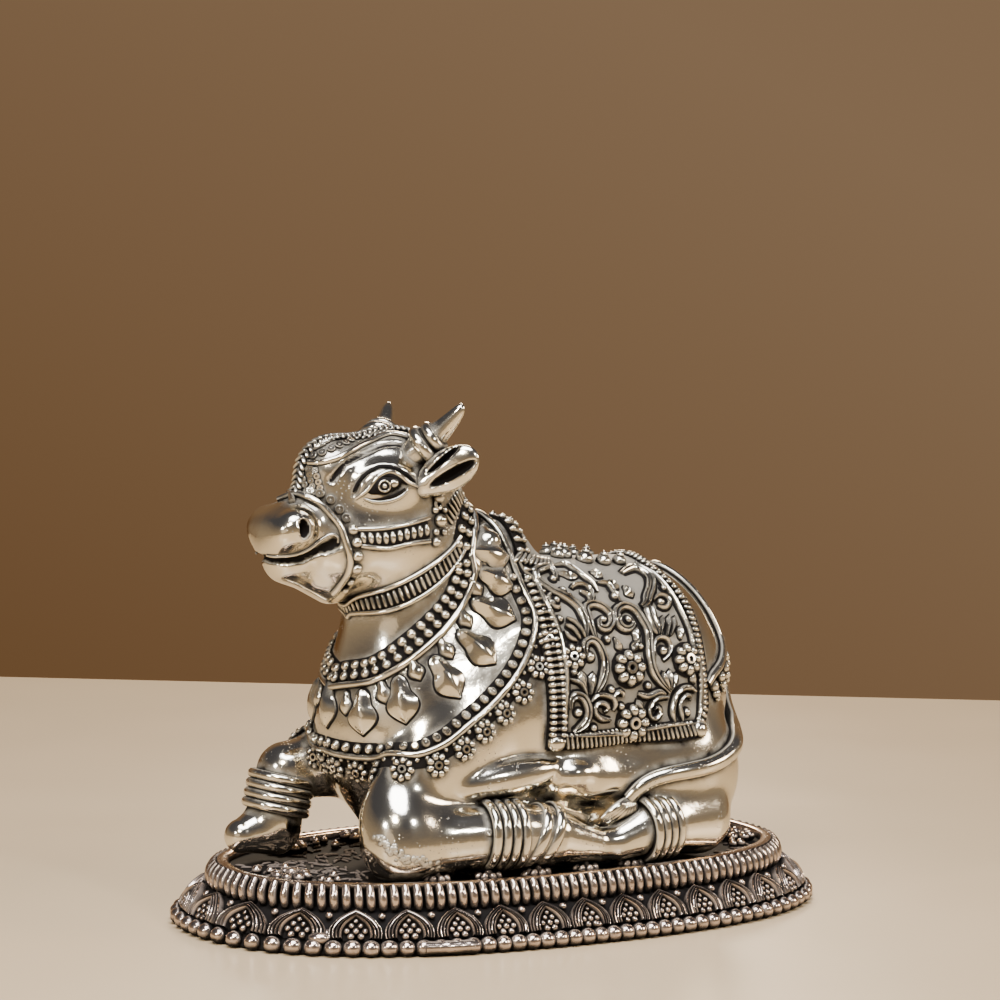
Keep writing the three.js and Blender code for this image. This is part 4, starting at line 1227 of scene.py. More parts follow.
    def crown(self, straps):
        """The plait that runs up the middle of the forehead, over the crown and down to the hump."""
        points, _ = on_skin(self.CROWN, 0.1, 0.85)
        way = unit(np.gradient(points, axis=0))
        for lean in (-1, 1):
            strands = lay(points + (0, 0.62 * lean, 0))
            out = unit(slope_at(strands))
            forward = np.array([0, 1.0 * lean, 0]) - 0.8 * way
            straps.stamp(BAR, strands + out * 0.3, out, forward, (1.7, 0.62, 1.0))


class NANDI_OT_bib(bpy.types.Operator):
    """Hangs the bib: bead rows, two necklace cords, pendant leaves and a border of small flowers"""
    bl_idname = "nandi.bib"
    bl_label = "Bib"

    # Where the outer necklace comes to the hump, as a share of its half
    HUMP_START = 0.85
    # Pendant leaves as photo pixels of stem and tip, from the middle of the chest to the nape
    MIDDLE_LEAF = [(364.6, 690.3), (364.6, 735.6)]
    LEAVES = [
        ((363.2, 689.5), (363.7, 735.2)), ((398, 676), (406, 723.6)), ((432, 656.6), (459.2, 698)),
        ((456.6, 630.7), (495.4, 664.4)), ((469.5, 600.9), (516, 620.3)), ((477.3, 571), (512.3, 588)),
        ((469.5, 551.7), (508.4, 558)),
    ]
    # Small lobes between the pendant leaves
    LOBES = [(346.5, 703), (383.5, 692), (415, 669.5), (445, 648.8), (463, 618), (474, 587), (474, 563)]

    def execute(self, context):
        radius = context.scene.nandi_sizes.necklace_radius / MM
        dress = Casting(BULL_SEAT)
        shares = np.linspace(0, 1, 150)
        for necklace in (INNER_NECKLACE, OUTER_NECKLACE):
            half = along(necklace, shares)
            points = lay(np.vstack([half, flipped(half)[-2:0:-1]]))
            out = unit(slope_at(points))
            dress.sweep(points + out * 0.3, out, radius, radius, 10, closed=True)
        for side in (-1, 1):
            for necklace, offset, half_width, end in (
                    (INNER_NECKLACE, -2, 1.75, 1), (OUTER_NECKLACE, -1.1, 1.0, self.HUMP_START),
                    (OUTER_NECKLACE, 1.1, 0.9, self.HUMP_START)):
                points, out, _ = self.beside(necklace, 110, offset, side, end)
                dress.ground(points, out, half_width)
            self.rows(dress, side)
            self.leaves(dress, side)
        stem, tip = lay(seen(self.MIDDLE_LEAF))
        middle = lay([(stem + tip) / 2 * (1, 0, 1)])
        dress.outlined(LEAF, middle, unit(slope_at(middle)), tip - stem, (6.6, 4.4, 1.3))
        dress.piece("bib_ornaments", bull_silver(), BULL_SLOT)
        return {"FINISHED"}

    @staticmethod
    def beside(necklace, count, offset, side, end=1.0):
        """Places at an even pitch beside half a necklace up to a share of it, offset away from the neck."""
        shares = end * (np.arange(count) + 0.5) / count
        spots = lay(along(necklace, shares))
        ahead = along(necklace, shares + 0.004)
        down = np.cross(unit(ahead - along(necklace, shares - 0.004)), unit(slope_at(spots)))
        spots, out = on_side(spots + offset * down, side)
        return spots, out, down if side < 0 else flipped(down)

    def rows(self, dress, side):
        """The rows of beads and small flowers beside the two necklaces."""
        for necklace, count, offset, shape, size, lift, end in (
            (INNER_NECKLACE, 22, -1.25, FINE_BEAD, (1.4, 1.35, 1.3), 0.25, 1),
            (INNER_NECKLACE, 22, -2.75, FINE_BEAD, (1.4, 1.35, 1.3), 0.25, 1),
            (INNER_NECKLACE, 22, -2.0, BEAD, (1.0, 0.62, 0.8), 0.15, 1),
            (OUTER_NECKLACE, 28, -1.25, DIMPLED, (1.45, 1.3, 1.4), 0.25, self.HUMP_START),
            (OUTER_NECKLACE, 13, 2.25, SMALL_FLOWER, (3.7, 3.7, 3.4), 0.3, self.HUMP_START),
            (OUTER_NECKLACE, 38, 0.75, BEAD, (0.8, 0.8, 0.8), 0.1, self.HUMP_START),
        ):
            spots, out, down = self.beside(necklace, count, offset, side, end)
            dress.stamp(shape, spots + out * lift, out, down, size)

    def leaves(self, dress, side):
        """The pendant leaves, of nearly one length, and the lobes between them."""
        stems, _ = on_side(seen([stem for stem, _ in self.LEAVES]), side)
        tips, _ = on_side(seen([tip for _, tip in self.LEAVES]), side)
        length = np.clip(np.linalg.norm(tips - stems, axis=1), 5.0, 7.0)
        middle = lay((stems + tips) / 2)
        size = np.stack([length, np.full(len(length), 4.5), np.full(len(length), 1.3)], -1)
        dress.outlined(LEAF, middle, unit(slope_at(middle)), tips - stems, size)
        lobes, out = on_side(seen(self.LOBES), side)
        dress.outlined(LOBED, lobes, out, (0.5, 0, -1), (3.4, 2.3, 0.8))


class NANDI_OT_saddle_cloth(bpy.types.Operator):
    """Lays the saddle cloth with its ladder, rib and bead borders, scrolls, flowers and buds"""
    bl_idname = "nandi.saddle_cloth"
    bl_label = "Saddle cloth"

    THICKNESS = 0.55
    # Points of the sheet along the trunk and across it from hem to hem
    COLUMNS, ROWS = 42, 112
    # Lengths on the laid cloth, in mm, that turn places along its borders into shares
    PANEL_LENGTH = 27.0
    PANEL_DROP = 38.0

    # Lines as photo pixels, with the half width in mm and the number of ribs side by side
    FRONT_FRAME = [
        (515, 564), (521.5, 574.3), (529.6, 582.4), (535.5, 590.5), (541.3, 602.2), (547.9, 614.7),
        (553.8, 626.4), (558.9, 639.6), (561.9, 655), (564.8, 681.7), (563.7, 703.7), (562.6, 725.7),
        (562, 735),
    ]
    FOOT_FRAME = [
        (562, 735), (584, 734), (605, 733), (625.6, 731.5), (656.2, 728), (675.4, 725.7), (693.7, 725),
    ]
    REAR_FRAME = [
        (633.3, 567.2), (644.7, 574), (656.2, 584), (666.2, 595.5), (674.6, 608.5), (681.5, 622.3),
        (686.8, 636.8), (689.9, 652), (695.3, 668), (697.2, 690.9), (696, 713.9), (693.7, 725),
    ]
    LINES = [
        (FRONT_FRAME, 0.36, 1), (FOOT_FRAME, 0.36, 1), (REAR_FRAME, 0.36, 1),
        # The foot of the panel: tusk, hook and inner curl, then the middle and the arch behind
        ([(568.8, 708), (568.5, 700.7), (572.9, 695.6), (580.2, 697), (584.6, 703.7), (586, 711),
          (583.9, 719.8), (578, 726.4), (571.4, 731)], 0.3, 2),
        ([(588.6, 701.5), (594, 695.6), (603, 695.5), (610, 698.5), (612, 705), (610, 710)], 0.38, 1),
        ([(608, 719), (599, 718), (592, 711), (594, 704), (601, 703), (605, 708), (601, 711)], 0.38, 1),
        ([(609, 697), (615, 692), (619, 692), (619.5, 697)], 0.34, 1),
        ([(635.2, 693.6), (644, 696.3), (650, 694), (656.2, 691.7), (662.3, 694)], 0.42, 1),
        ([(665.4, 697), (657.8, 697), (651.6, 699.3), (647.8, 704.7), (645.5, 710.8), (647.8, 717),
          (652.4, 718.5), (656.2, 714.6), (657, 709.3), (653.9, 706.2), (650.9, 709.3)], 0.36, 1),
        ([(672.3, 723), (669.6, 713.9), (670, 704.7), (673, 694.7), (679.2, 688.6), (686.8, 687.9),
          (692, 691)], 0.4, 1),
        ([(680, 722.3), (677.7, 713.9), (676, 704.7), (678.4, 697.8), (683, 694.7), (686.8, 697),
          (686, 700)], 0.36, 1),
        # The two halves of the heart with their stems
        ([(587, 659), (582.5, 653), (583, 645), (588, 641.5), (594, 644), (599, 652), (602, 665),
          (600, 678), (596, 688), (593, 694)], 0.3, 2),
        ([(593, 641), (589, 630), (585, 618), (583.5, 610.5), (590, 607), (600, 610), (607, 617),
          (608, 625), (603, 631), (597, 629), (596.5, 623.5), (600, 621)], 0.3, 2),
        ([(667, 692), (657, 682), (650, 671), (647, 657), (646, 645), (645, 634), (640, 624), (632, 613),
          (622, 609), (614.5, 613), (613.5, 620), (618, 629), (626, 631), (631, 626),
          (628, 621.5)], 0.32, 2),
        ([(651, 668), (650, 655), (650.5, 645), (656, 639.5), (663, 640.5), (667, 647), (665, 656),
          (660, 661)], 0.34, 1),
        # The upper front: long blade, shell ribs, curl and crescent
        ([(553.8, 583), (552.3, 576.5), (545.7, 572), (537.7, 571.8), (531.8, 574.3), (531.8, 580.2),
          (537, 586), (544.3, 590.5), (551.6, 594.9), (559.7, 598.5), (569.2, 603.7), (577.3, 611),
          (581, 618.3), (583.9, 627.9), (583.9, 638)], 0.34, 2),
        ([(564.8, 620.5), (572.9, 625), (579.5, 633), (583, 639.6)], 0.34, 1),
        ([(563.3, 627), (570.7, 630.8), (578, 641)], 0.34, 1),
        ([(562.6, 633), (567, 639), (575, 643.3)], 0.34, 1),
        ([(548.7, 596.3), (545.7, 600.7), (547.9, 606.6), (553, 610.3), (558.2, 609.5)], 0.36, 1),
        ([(569.2, 592), (572.9, 589), (581.7, 589), (589, 595.6), (590.5, 603.7)], 0.34, 1),
        ([(578, 594.9), (586, 599.3), (587.5, 605.9)], 0.3, 1),
        ([(551.6, 570), (563.3, 569.2), (571.4, 573.6), (580.2, 580.2), (589, 586.8),
          (594.9, 594.9)], 0.34, 1),
        ([(595, 586.3), (605, 587.9), (610.3, 594.7), (618, 604.7)], 0.34, 1),
        # The upper rear: scroll, ribbed leaf and curl
        ([(620, 577), (631.7, 572.6), (640.9, 575.6), (647.8, 581.7), (648.6, 590.9), (645.5, 600),
          (644, 606.2), (639.4, 610)], 0.36, 2),
        ([(645.5, 608.5), (647.8, 618.5), (651.6, 628.4), (655.5, 635.3)], 0.5, 2),
        ([(650.9, 603.2), (656.2, 598.6), (663.9, 600.9), (666.2, 606.2), (660.8, 610.8),
          (654.7, 608.5)], 0.34, 1),
        ([(584.6, 696.3), (579.1, 684), (567.7, 679.5)], 0.26, 1),
    ]
    # Flowers by their middle, with their share of the largest one
    FLOWERS = [((626, 669), 1.0), ((629, 721.5), 1.0), ((570.7, 658.2), 0.74), ((683.8, 660.3), 0.9)]
    # Leaves by stem and tip, with their width in mm
    LEAVES = [
        ((583.5, 692), (578, 672), 1.5), ((588.3, 694), (590.5, 674), 1.5),
        ((666, 690), (660, 673), 1.3), ((667, 690), (666.5, 671), 1.3), ((668, 690), (673, 674), 1.3),
        ((556, 577.3), (575, 581), 1.6), ((589, 575.8), (600, 581), 1.6), ((656, 636), (652, 619), 1.1),
        ((657.5, 636), (660, 619), 1.1), ((664, 637), (666.5, 618), 1.1), ((668, 636), (672, 619), 1.1),
        ((677, 640), (677, 629), 1.4), ((633.3, 643), (633.3, 630), 1.5), ((612, 640), (618, 652), 1.2),
        ((636, 640), (630, 652), 1.2), ((606, 585), (616, 592), 1.4), ((640, 712), (634, 700), 1.3),
        ((688, 672), (690, 684), 1.2), ((573, 668), (571, 676), 1.3), ((622, 590), (630, 600), 1.6),
    ]
    # Beads by their middle, with their diameter in mm
    STUDS = [
        ((587.5, 658), 1.4), ((660, 652), 1.3), ((553.8, 603), 1), ((557.5, 621.3), 1),
        ((550.9, 583), 1), ((560.4, 593.4), 1), ((567, 599.3), 1), ((657.8, 605.5), 1.2),
        ((660.8, 592), 1), ((600, 622), 1.1), ((625, 622), 1.1), ((612, 600), 1.2), ((604, 641), 1.1),
        ((637, 648), 1), ((608, 690), 1.1), ((645, 686), 1), ((576, 712), 1.2), ((683, 713), 1.2),
        ((640, 727), 1), ((591, 727), 1), ((618, 706), 1),
    ]
    # Buds that stand in pairs along the spine
    BUDS = [((546, 557), 2.4), ((562.6, 560), 3), ((583, 564), 3), ((602, 566), 2.6), ((618, 566), 2.4)]

    # The ribbed roll that lies across the spine at the front edge: its first rib and the step to the next
    ROLL_START, ROLL_STEP = np.array([514, 559]), np.array([4.4, 1.3])

    def execute(self, context):
        dress = Casting(BULL_SEAT)
        self.sheet(dress)
        largest = context.scene.nandi_sizes.flower_diameter / MM
        for side in (-1, 1):
            self.borders(dress, side)
            self.scrolls(dress, side)
            self.stamps(dress, side, largest)
        dress.piece("saddle_cloth_relief", bull_silver(), BULL_SLOT)
        return {"FINISHED"}

    def sheet(self, dress):
        """The cloth's own body, a closed layer with rounded edges."""
        columns, rows = self.COLUMNS, self.ROWS
        s, t = np.meshgrid(np.linspace(0, 1, columns), np.linspace(-1, 1, rows), indexing="ij")
        top = cloth(s, t, self.THICKNESS).reshape(-1, 3)
        foot = cloth(s, t, -0.8).reshape(-1, 3)
        i, j = np.meshgrid(np.arange(columns - 1), np.arange(rows - 1), indexing="ij")
        a = (i * rows + j).ravel()
        quads = np.stack([a, a + rows, a + rows + 1, a + 1], -1)
        # The grounds of the ladder, of the ribs along the hem and of the rear beads keep their black
        edge = (s < 0.1) | (s > 0.92) | (np.abs(t) > 0.92)
        soot = np.concatenate([np.where(edge.ravel(), 1.0, 0.7), np.ones(len(foot))])
        dress.add(np.vstack([top, foot]), np.vstack([quads, quads[:, ::-1] + len(top)]), soot)
        rim = np.r_[
            np.arange(rows), np.arange(1, columns) * rows + rows - 1,
            np.arange(rows - 2, -1, -1) + (columns - 1) * rows, np.arange(columns - 2, 0, -1) * rows,
        ]
        ahead = np.roll(rim, -1)
        wall = np.stack([rim, ahead, ahead + len(top), rim + len(top)], -1)
        dress.faces.append(wall + dress.count - 2 * len(top))

    def row(self, start, end, count, side, lift):
        """Evenly spaced places on the cloth between two [along, down] places, in mm."""
        shares = ((np.arange(count) + 0.5) / count)[:, None]
        spots = np.array(start) + (np.array(end) - np.array(start)) * np.vstack([shares, shares + 0.01])
        share = spots / (self.PANEL_LENGTH, self.PANEL_DROP)
        points = cloth(share[:, 0], side * share[:, 1], self.THICKNESS + lift)
        return points[:count], unit(slope_at(points[:count])), unit(points[count:] - points[:count])

    def borders(self, dress, side):
        """The ladder at the front, the ribs along the hem, the beads at the rear and the corner beads."""
        points, out, way = self.row((1.4, 0.4), (1.4, 36.8), 33, side, 0.15)
        dress.stamp(LADDER_BAR, points, out, np.cross(way, out), (2.9, 0.92, 1.25))
        points, out, way = self.row((2.6, 36.4), (24.6, 36.4), 29, side, 0.15)
        dress.stamp(BAR, points, out, np.cross(way, out) + 0.18 * way, (2.5, 0.62, 1.05))
        points, out, way = self.row((25.6, 0.4), (25.6, 36), 35, side, 0.2)
        dress.stamp(BEAD, points, out, way, (0.98, 1.9, 1.15))
        corners = cloth(
            np.array([1.3, 25.8]) / self.PANEL_LENGTH, side * np.full(2, 0.965), self.THICKNESS + 0.2)
        sizes = [(2.7, 2.4, 1.9), (2.4, 2.4, 1.5)]
        dress.stamp(FINE_BEAD, corners, unit(slope_at(corners)), (1, 0, 0), sizes)

    def scrolls(self, dress, side):
        """The frames and scrolls, each on a strip of black ground."""
        laid = traced([line for line, _, _ in self.LINES], side, self.THICKNESS + 0.15, 0.4)
        for (points, out), (_, half_width, ribs) in zip(laid, self.LINES):
            swell = np.clip(1.5 * spindle(len(points)), 0.5, 1)
            across = np.cross(unit(np.gradient(points, axis=0)), out)
            dress.ground(points - 0.12 * out, out, 1.08 * ribs * half_width + 0.3, taper=swell ** 0.5)
            for k in range(ribs):
                offset = (2 * k - ribs + 1) * half_width * swell[:, None] * across
                dress.sweep(points + offset, out, 1.08 * half_width, 0.7, 8, taper=swell)

    def stamps(self, dress, side, largest):
        """Flowers, studs, buds, leaves and the ribbed roll."""
        middles = [pixel for pixel, _ in self.FLOWERS + self.STUDS + self.BUDS]
        spots, out = on_side(seen(middles), side, self.THICKNESS + 0.25)
        first, second = len(self.FLOWERS), len(self.FLOWERS) + len(self.STUDS)
        flowers = largest * np.array([[share] * 3 for _, share in self.FLOWERS])
        beds = np.array([
            [size + 0.6, size + 0.6, 0.3] for size in list(flowers[:, 0]) + [size for _, size in self.STUDS]])
        dress.stamp(FINE_BEAD, spots[:second] - 0.2 * out[:second], out[:second], (1, 0, 0), beds, soot=1.0)
        dress.stamp(FLOWER, spots[:first], out[:first], (1, 0, 0), flowers, draped=True)
        studs = [(size, size, size) for _, size in self.STUDS]
        dress.stamp(FINE_BEAD, spots[first:second], out[first:second], (1, 0, 0), studs)
        buds = np.array([[0.86 * size, size, 0.8 * size] for _, size in self.BUDS])
        dress.stamp(FINE_BEAD, spots[second:], out[second:], (1, 0, 0), buds)
        tops = spots[second:] + out[second:] * buds[:, 2:] * 0.5
        dress.stamp(BEAD, tops, out[second:], (1, 0, 0), (1.1, 1.3, 1.0))
        stems, _ = on_side(seen([stem for stem, _, _ in self.LEAVES]), side, self.THICKNESS)
        tips, _ = on_side(seen([tip for _, tip, _ in self.LEAVES]), side, self.THICKNESS)
        length = np.linalg.norm(tips - stems, axis=1)
        middle = (stems + tips) / 2
        out = unit(slope_at(middle))
        widths = [width for _, _, width in self.LEAVES]
        size = np.stack([1.1 * length, widths, np.full(len(length), 0.95)], -1)
        dress.stamp(LEAF_BED, middle, out, tips - stems, size * (1, 1, 0) + (0.5, 0.5, 0.3), soot=1.0)
        dress.stamp(LEAF, middle, out, tips - stems, size)
        roll = [self.ROLL_START + k * self.ROLL_STEP for k in range(9)]
        ribs, out = on_side(seen(roll), side, self.THICKNESS + 0.1)
        dress.stamp(BAR, ribs, out, (0.35, 1, 0), (2.8, 0.72, 1.3))


class NANDI_OT_crupper(bpy.types.Operator):
    """Runs the crupper round the rump with its clusters of bells"""
    bl_idname = "nandi.crupper"
    bl_label = "Crupper"

    CLUSTERS = 20
    # The bells of a cluster as [distance from the strap, diameter in mm]
    BELLS = [(1.35, 1.7), (2.6, 1.5), (3.5, 1.0)]

    def execute(self, context):
        dress = Casting(BULL_SEAT)
        line = CRUPPER + [tuple(p) for p in flipped(CRUPPER[:-1])[::-1]]
        points, out = on_skin(line, 0.3, 0.5)
        dress.sweep(points, out, 0.75, 0.75, 10)
        spots = lay(along(route(line), (np.arange(self.CLUSTERS) + 0.5) / self.CLUSTERS))
        out = unit(slope_at(spots))
        way = unit(np.gradient(spots, axis=0))
        drop = np.cross(out, way)
        # All bells hang to the rear of the strap
        drop *= np.sign(drop @ np.array([1, 0, -0.2]))[:, None]
        for reach, size in self.BELLS:
            beads = lay(spots + drop * reach)
            out = unit(slope_at(beads))
            dress.stamp(FINE_BEAD, beads + out * 0.35, out, way, (size, size * 0.95, size))
        dress.piece("crupper_and_bells", bull_silver(), BULL_SLOT)
        return {"FINISHED"}


class NANDI_OT_anklets(bpy.types.Operator):
    """Puts the rings round the legs, and the ribs, the rivet and the rough casting by the near knee"""
    bl_idname = "nandi.anklets"
    bl_label = "Anklets"

    # Photo pixels: the ribbed fold above the foreleg, the rivet, and the line of rough metal under the knee
    FOLD = [(477, 787), (486, 782), (500, 778.5), (516, 777)]
    RIVET = (489, 832)
    ROUGH = np.array([(378, 838), (386, 847), (398, 854), (413, 860), (436, 865)], float)
    GRAINS = 120

    def execute(self, context):
        rings = Casting(BULL_SEAT)
        for start, end, radius, count in ANKLETS:
            foot, tip = np.array(start, float), np.array(end, float)
            way = unit(tip - foot)
            up = unit(np.cross(way, (0, 1, 0)))
            across = np.cross(up, way)
            turns = np.linspace(0, 2 * math.pi, 48, endpoint=False)[:, None]
            for k in range(count):
                centre = foot + (tip - foot) * (k + 0.3) / count
                circle = centre + radius * (np.cos(turns) * across + np.sin(turns) * up)
                out = unit(circle - centre)
                rings.sweep(circle, out, 0.72, 0.66, 10, closed=True)
        # Two bands wrapped aslant round the near pastern
        for x in (-5.6, -3.4):
            centre = np.array([x, -17.1, 5.7])
            circle = centre + 4.2 * np.cos(turns) * (0.1, 1, 0) + 4.3 * np.sin(turns) * (0.42, 0, 0.9)
            rings.sweep(circle, unit(circle - centre), 0.9, 0.65, 10, closed=True)
        points, out = traced([self.FOLD], -1, 0.1, 0.95)[0]
        rings.stamp(BAR, points, out, np.cross(out, np.gradient(points, axis=0)), (3, 0.62, 0.8))
        spot, out = on_side(seen([self.RIVET]), -1, 0.05)
        rings.stamp(CIRCLET, spot, out, (1, 0, 0), (1.3, 1.3, 0.6))
        random = np.random.default_rng(5)
        steps = random.uniform(0, len(self.ROUGH) - 1, self.GRAINS)
        marks_along = np.arange(len(self.ROUGH))
        pixels = np.stack([np.interp(steps, marks_along, self.ROUGH[:, k]) for k in range(2)], -1)
        grains, out = on_side(seen(pixels + random.normal(0, 2.4, pixels.shape)), -1)
        size = random.uniform(0.3, 0.9, (self.GRAINS, 1)) * (1, 1, 0.5)
        rings.stamp(BEAD, grains, out, (1, 0, 0), size, soot=0.25)
        rings.piece("anklets", bull_silver(), BULL_SLOT)
        return {"FINISHED"}


class NANDI_OT_tail(bpy.types.Operator):
    """Winds the tail round the near thigh and ends it in its tuft"""
    bl_idname = "nandi.tail"
    bl_label = "Tail"

    STRANDS = 7

    def execute(self, context):
        tail = Casting(BULL_SEAT)
        shares = np.linspace(0, 1, 110)
        points = along(route(TAIL), shares)
        out = unit(slope_at(points))
        taper = 1.0 + 0.25 * (1 - shares) - 0.15 * shares
        tail.sweep(points, out, 1.3, 1.3, 14, taper=taper)
        tip = points[-1] + (-1.4, -0.5, -0.4)
        for spread in np.linspace(-1, 1, self.STRANDS):
            end = tip + (-1.2 + 2.2 * spread, 0.4 * abs(spread), -2.6 + 0.4 * abs(spread))
            bend = (points[-1] + end) / 2 + (0.5 * spread, -0.5, 0)
            strand = along(route([points[-1], bend, end]), np.linspace(0, 1, 12))
            tail.sweep(strand, (0, -1, 0.1), 0.8, 0.8, 8, taper=spindle(12, 0.5, 0.12) ** 0.7)
        tail.piece("tail", bull_silver(), BULL_SLOT)
        return {"FINISHED"}


# The plinth

OVAL_POWER = 2.4
FLOOR_HEIGHT = 8.0
RIM_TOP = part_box(PLINTH)[1].z / MM
# How far the plinth's foot stands outside the edge of its floor
FOOT_REACH = 8.2


class Oval:
    """The edge of the plinth's sunk floor, by share of the way round."""

    def __init__(self):
        angle = np.linspace(0, 2 * math.pi, 4001)
        c, s = np.cos(angle), np.sin(angle)
        bend = 2 / OVAL_POWER
        half_length = PLINTH_HALF_LENGTH - FOOT_REACH
        half_width = PLINTH_HALF_WIDTH - FOOT_REACH
        self.points = np.stack([
            half_length * np.sign(c) * np.abs(c) ** bend, half_width * np.sign(s) * np.abs(s) ** bend], -1)
        steps = np.linalg.norm(np.diff(self.points, axis=0), axis=1)
        self.length = np.r_[0, np.cumsum(steps)]

    def edge(self, arc):
        """Points on the edge at lengths of the way round, in mm."""
        arc = arc % self.length[-1]
        return np.stack([np.interp(arc, self.length, self.points[:, k]) for k in range(2)], -1)

    def at(self, share, out, z):
        """Points beside the edge: share of the way round, distance outward and height."""
        share, out, z = np.broadcast_arrays(*(np.asarray(v, float) for v in (share, out, z)))
        arc = (share % 1) * self.length[-1]
        way = unit(self.edge(arc + 0.4) - self.edge(arc - 0.4))
        normal = np.stack([way[..., 1], -way[..., 0]], -1)
        return np.concatenate([self.edge(arc) + normal * out[..., None], z[..., None]], -1)

    def outward(self, share):
        """The directions square to the edge."""
        return unit(self.at(share, 1, 0) - self.at(share, 0, 0))


FLOOR_EDGE = Oval()


class NANDI_OT_plinth(bpy.types.Operator):
    """Casts the plinth's plain body: foot, sloping band, wall, rim and sunk floor"""
    bl_idname = "nandi.plinth"
    bl_label = "Plinth body"

    FACETS = 420
    # The plinth's section from its foot to the sunk floor as [distance outside the floor's edge, height]
    PROFILE = [
        (6.6, 0), (6.9, 0.4), (6.6, 1.4), (6, 2), (5.4, 2.6), (4.6, 3.6), (3.7, 4.6), (2.9, 5.2),
        (1.7, 5.4), (1.2, 5.7), (1.1, 7.8), (1.4, 8.3), (1.65, 8.6), (1.6, 8.95), (1.3, RIM_TOP),
        (0.5, RIM_TOP), (0.15, RIM_TOP - 0.15), (0, 8.7), (0, FLOOR_HEIGHT),
    ]
    # Rings of points on the floor, as shares of its size
    FLOOR_RINGS = [0.96, 0.8, 0.55, 0.3]

    def execute(self, context):
        body = Casting(0)
        count = self.FACETS
        shares = np.arange(count) / count
        levels = [FLOOR_EDGE.at(shares, out, z) for out, z in self.PROFILE]
        inner = FLOOR_EDGE.at(shares, 0, FLOOR_HEIGHT)
        for share in self.FLOOR_RINGS:
            ringed = inner.copy()
            ringed[:, :2] *= share
            levels.append(ringed)
        points = np.vstack(levels + [[[0, 0, 0]], [[0, 0, FLOOR_HEIGHT]]])
        i, j = np.meshgrid(np.arange(len(levels) - 1), np.arange(count), indexing="ij")
        n = (j + 1) % count
        low, high = i * count, (i + 1) * count
        quads = np.stack([low + j, low + n, high + n, high + j], -1).reshape(-1, 4)
        # The sunk floor and the grounds behind petals and reeds keep their black
        body.add(points, quads, np.where(points[:, 2] < FLOOR_HEIGHT + 0.45, 1.0, 0.0))
        foot, top = len(points) - 2, len(points) - 1
        last = (len(levels) - 1) * count
        k = np.arange(count)
        body.faces.append(np.stack([np.full(count, foot), (k + 1) % count, k], -1))
        body.faces.append(np.stack([np.full(count, top), last + k, last + (k + 1) % count], -1))
        body.piece("plinth_casting", plinth_silver(), PLINTH_SLOT, PLINTH)
        return {"FINISHED"}


class NANDI_OT_plinth_beads(bpy.types.Operator):
    """Sets the ring of beads round the plinth's foot, with the flaws of the casting"""
    bl_idname = "nandi.plinth_beads"
    bl_label = "Bead ring"

    # How far a run lies outside the floor's edge, in mm. The beads lie a little further in
    REACH = 7.3
    # Shares of the way round where the casting has run: [start, end]
    RUNS = [(0.629, 0.661)]
    # Lumps left by the casting: [share of the way round, distance outside the edge, height, size], in mm
    LUMPS = [
        (0.572, 6.4, 2.4, (3.2, 1.8, 2.2)), (0.575, 5.6, 2.9, (2.2, 1.3, 1.6)),
        (0.747, 6.4, 2.6, (1.5, 1, 1.2)),
    ]

    def execute(self, context):
        sizes = context.scene.nandi_sizes
        diameter, count = sizes.plinth_bead / MM, sizes.beads
        beads = Casting(0)
        random = np.random.default_rng(7)
        shares = (np.arange(count) + 0.5) / count
        spots = FLOOR_EDGE.at(shares, self.REACH - 0.3, diameter / 2)
        out = FLOOR_EDGE.outward(shares)
        size = diameter * (1 + random.uniform(-0.05, 0.05, (count, 3)))
        size[:, 1] *= 1.07
        size[:, 0] = np.minimum(size[:, 0], diameter)
        beads.stamp(ball(18, 12), spots, out, (0, 0, 1), size)
        for start, end in self.RUNS:
            line = np.linspace(start, end, 16)
            points = FLOOR_EDGE.at(line, self.REACH, diameter * 0.52)
            wobble = 1 + random.uniform(-0.08, 0.08, 16)
            beads.sweep(points, FLOOR_EDGE.outward(line), 0.95, 1.05, 12, taper=wobble)
        places, reaches, heights, sizes = zip(*self.LUMPS)
        lumps = FLOOR_EDGE.at(places, reaches, heights)
        beads.stamp(FINE_BEAD, lumps, FLOOR_EDGE.outward(places), (1, 0, 0), sizes)
        beads.piece("plinth_bead_ring", plinth_silver(), PLINTH_SLOT)
        return {"FINISHED"}


class NANDI_OT_reeds(bpy.types.Operator):
    """Sets the slanted reeds below the plinth's rim"""
    bl_idname = "nandi.reeds"
    bl_label = "Reeds"

    # The height of a reed's upper end, and how far it comes down and bulges, in mm
    TOP, DROP, BULGE = 8.75, 3.35, 1.5
    # How far a reed's foot lies beside its head, as a share of the pitch
    SLANT = 0.16

    def execute(self, context):
        count = context.scene.nandi_sizes.reeds
        reeds = Casting(0)
        steps = np.linspace(0, 1, 12)
        out = 1.15 + self.BULGE * np.sin(math.pi * (0.12 + 0.66 * steps)) ** 0.9
        height = self.TOP - self.DROP * steps
        taper = np.sin(np.clip(0.35 + 2.5 * steps, 0, 2.85)) ** 0.25
        taper[-1] *= 0.55
        slant = self.SLANT / count
        for k in range(count):
            share = (k + 0.5) / count + slant * steps
            points = FLOOR_EDGE.at(share, out, height)
            reeds.sweep(points, FLOOR_EDGE.outward(share), 0.66, 0.7, 8, taper=taper)
        reeds.piece("plinth_reeds", plinth_silver(), PLINTH_SLOT)
        return {"FINISHED"}


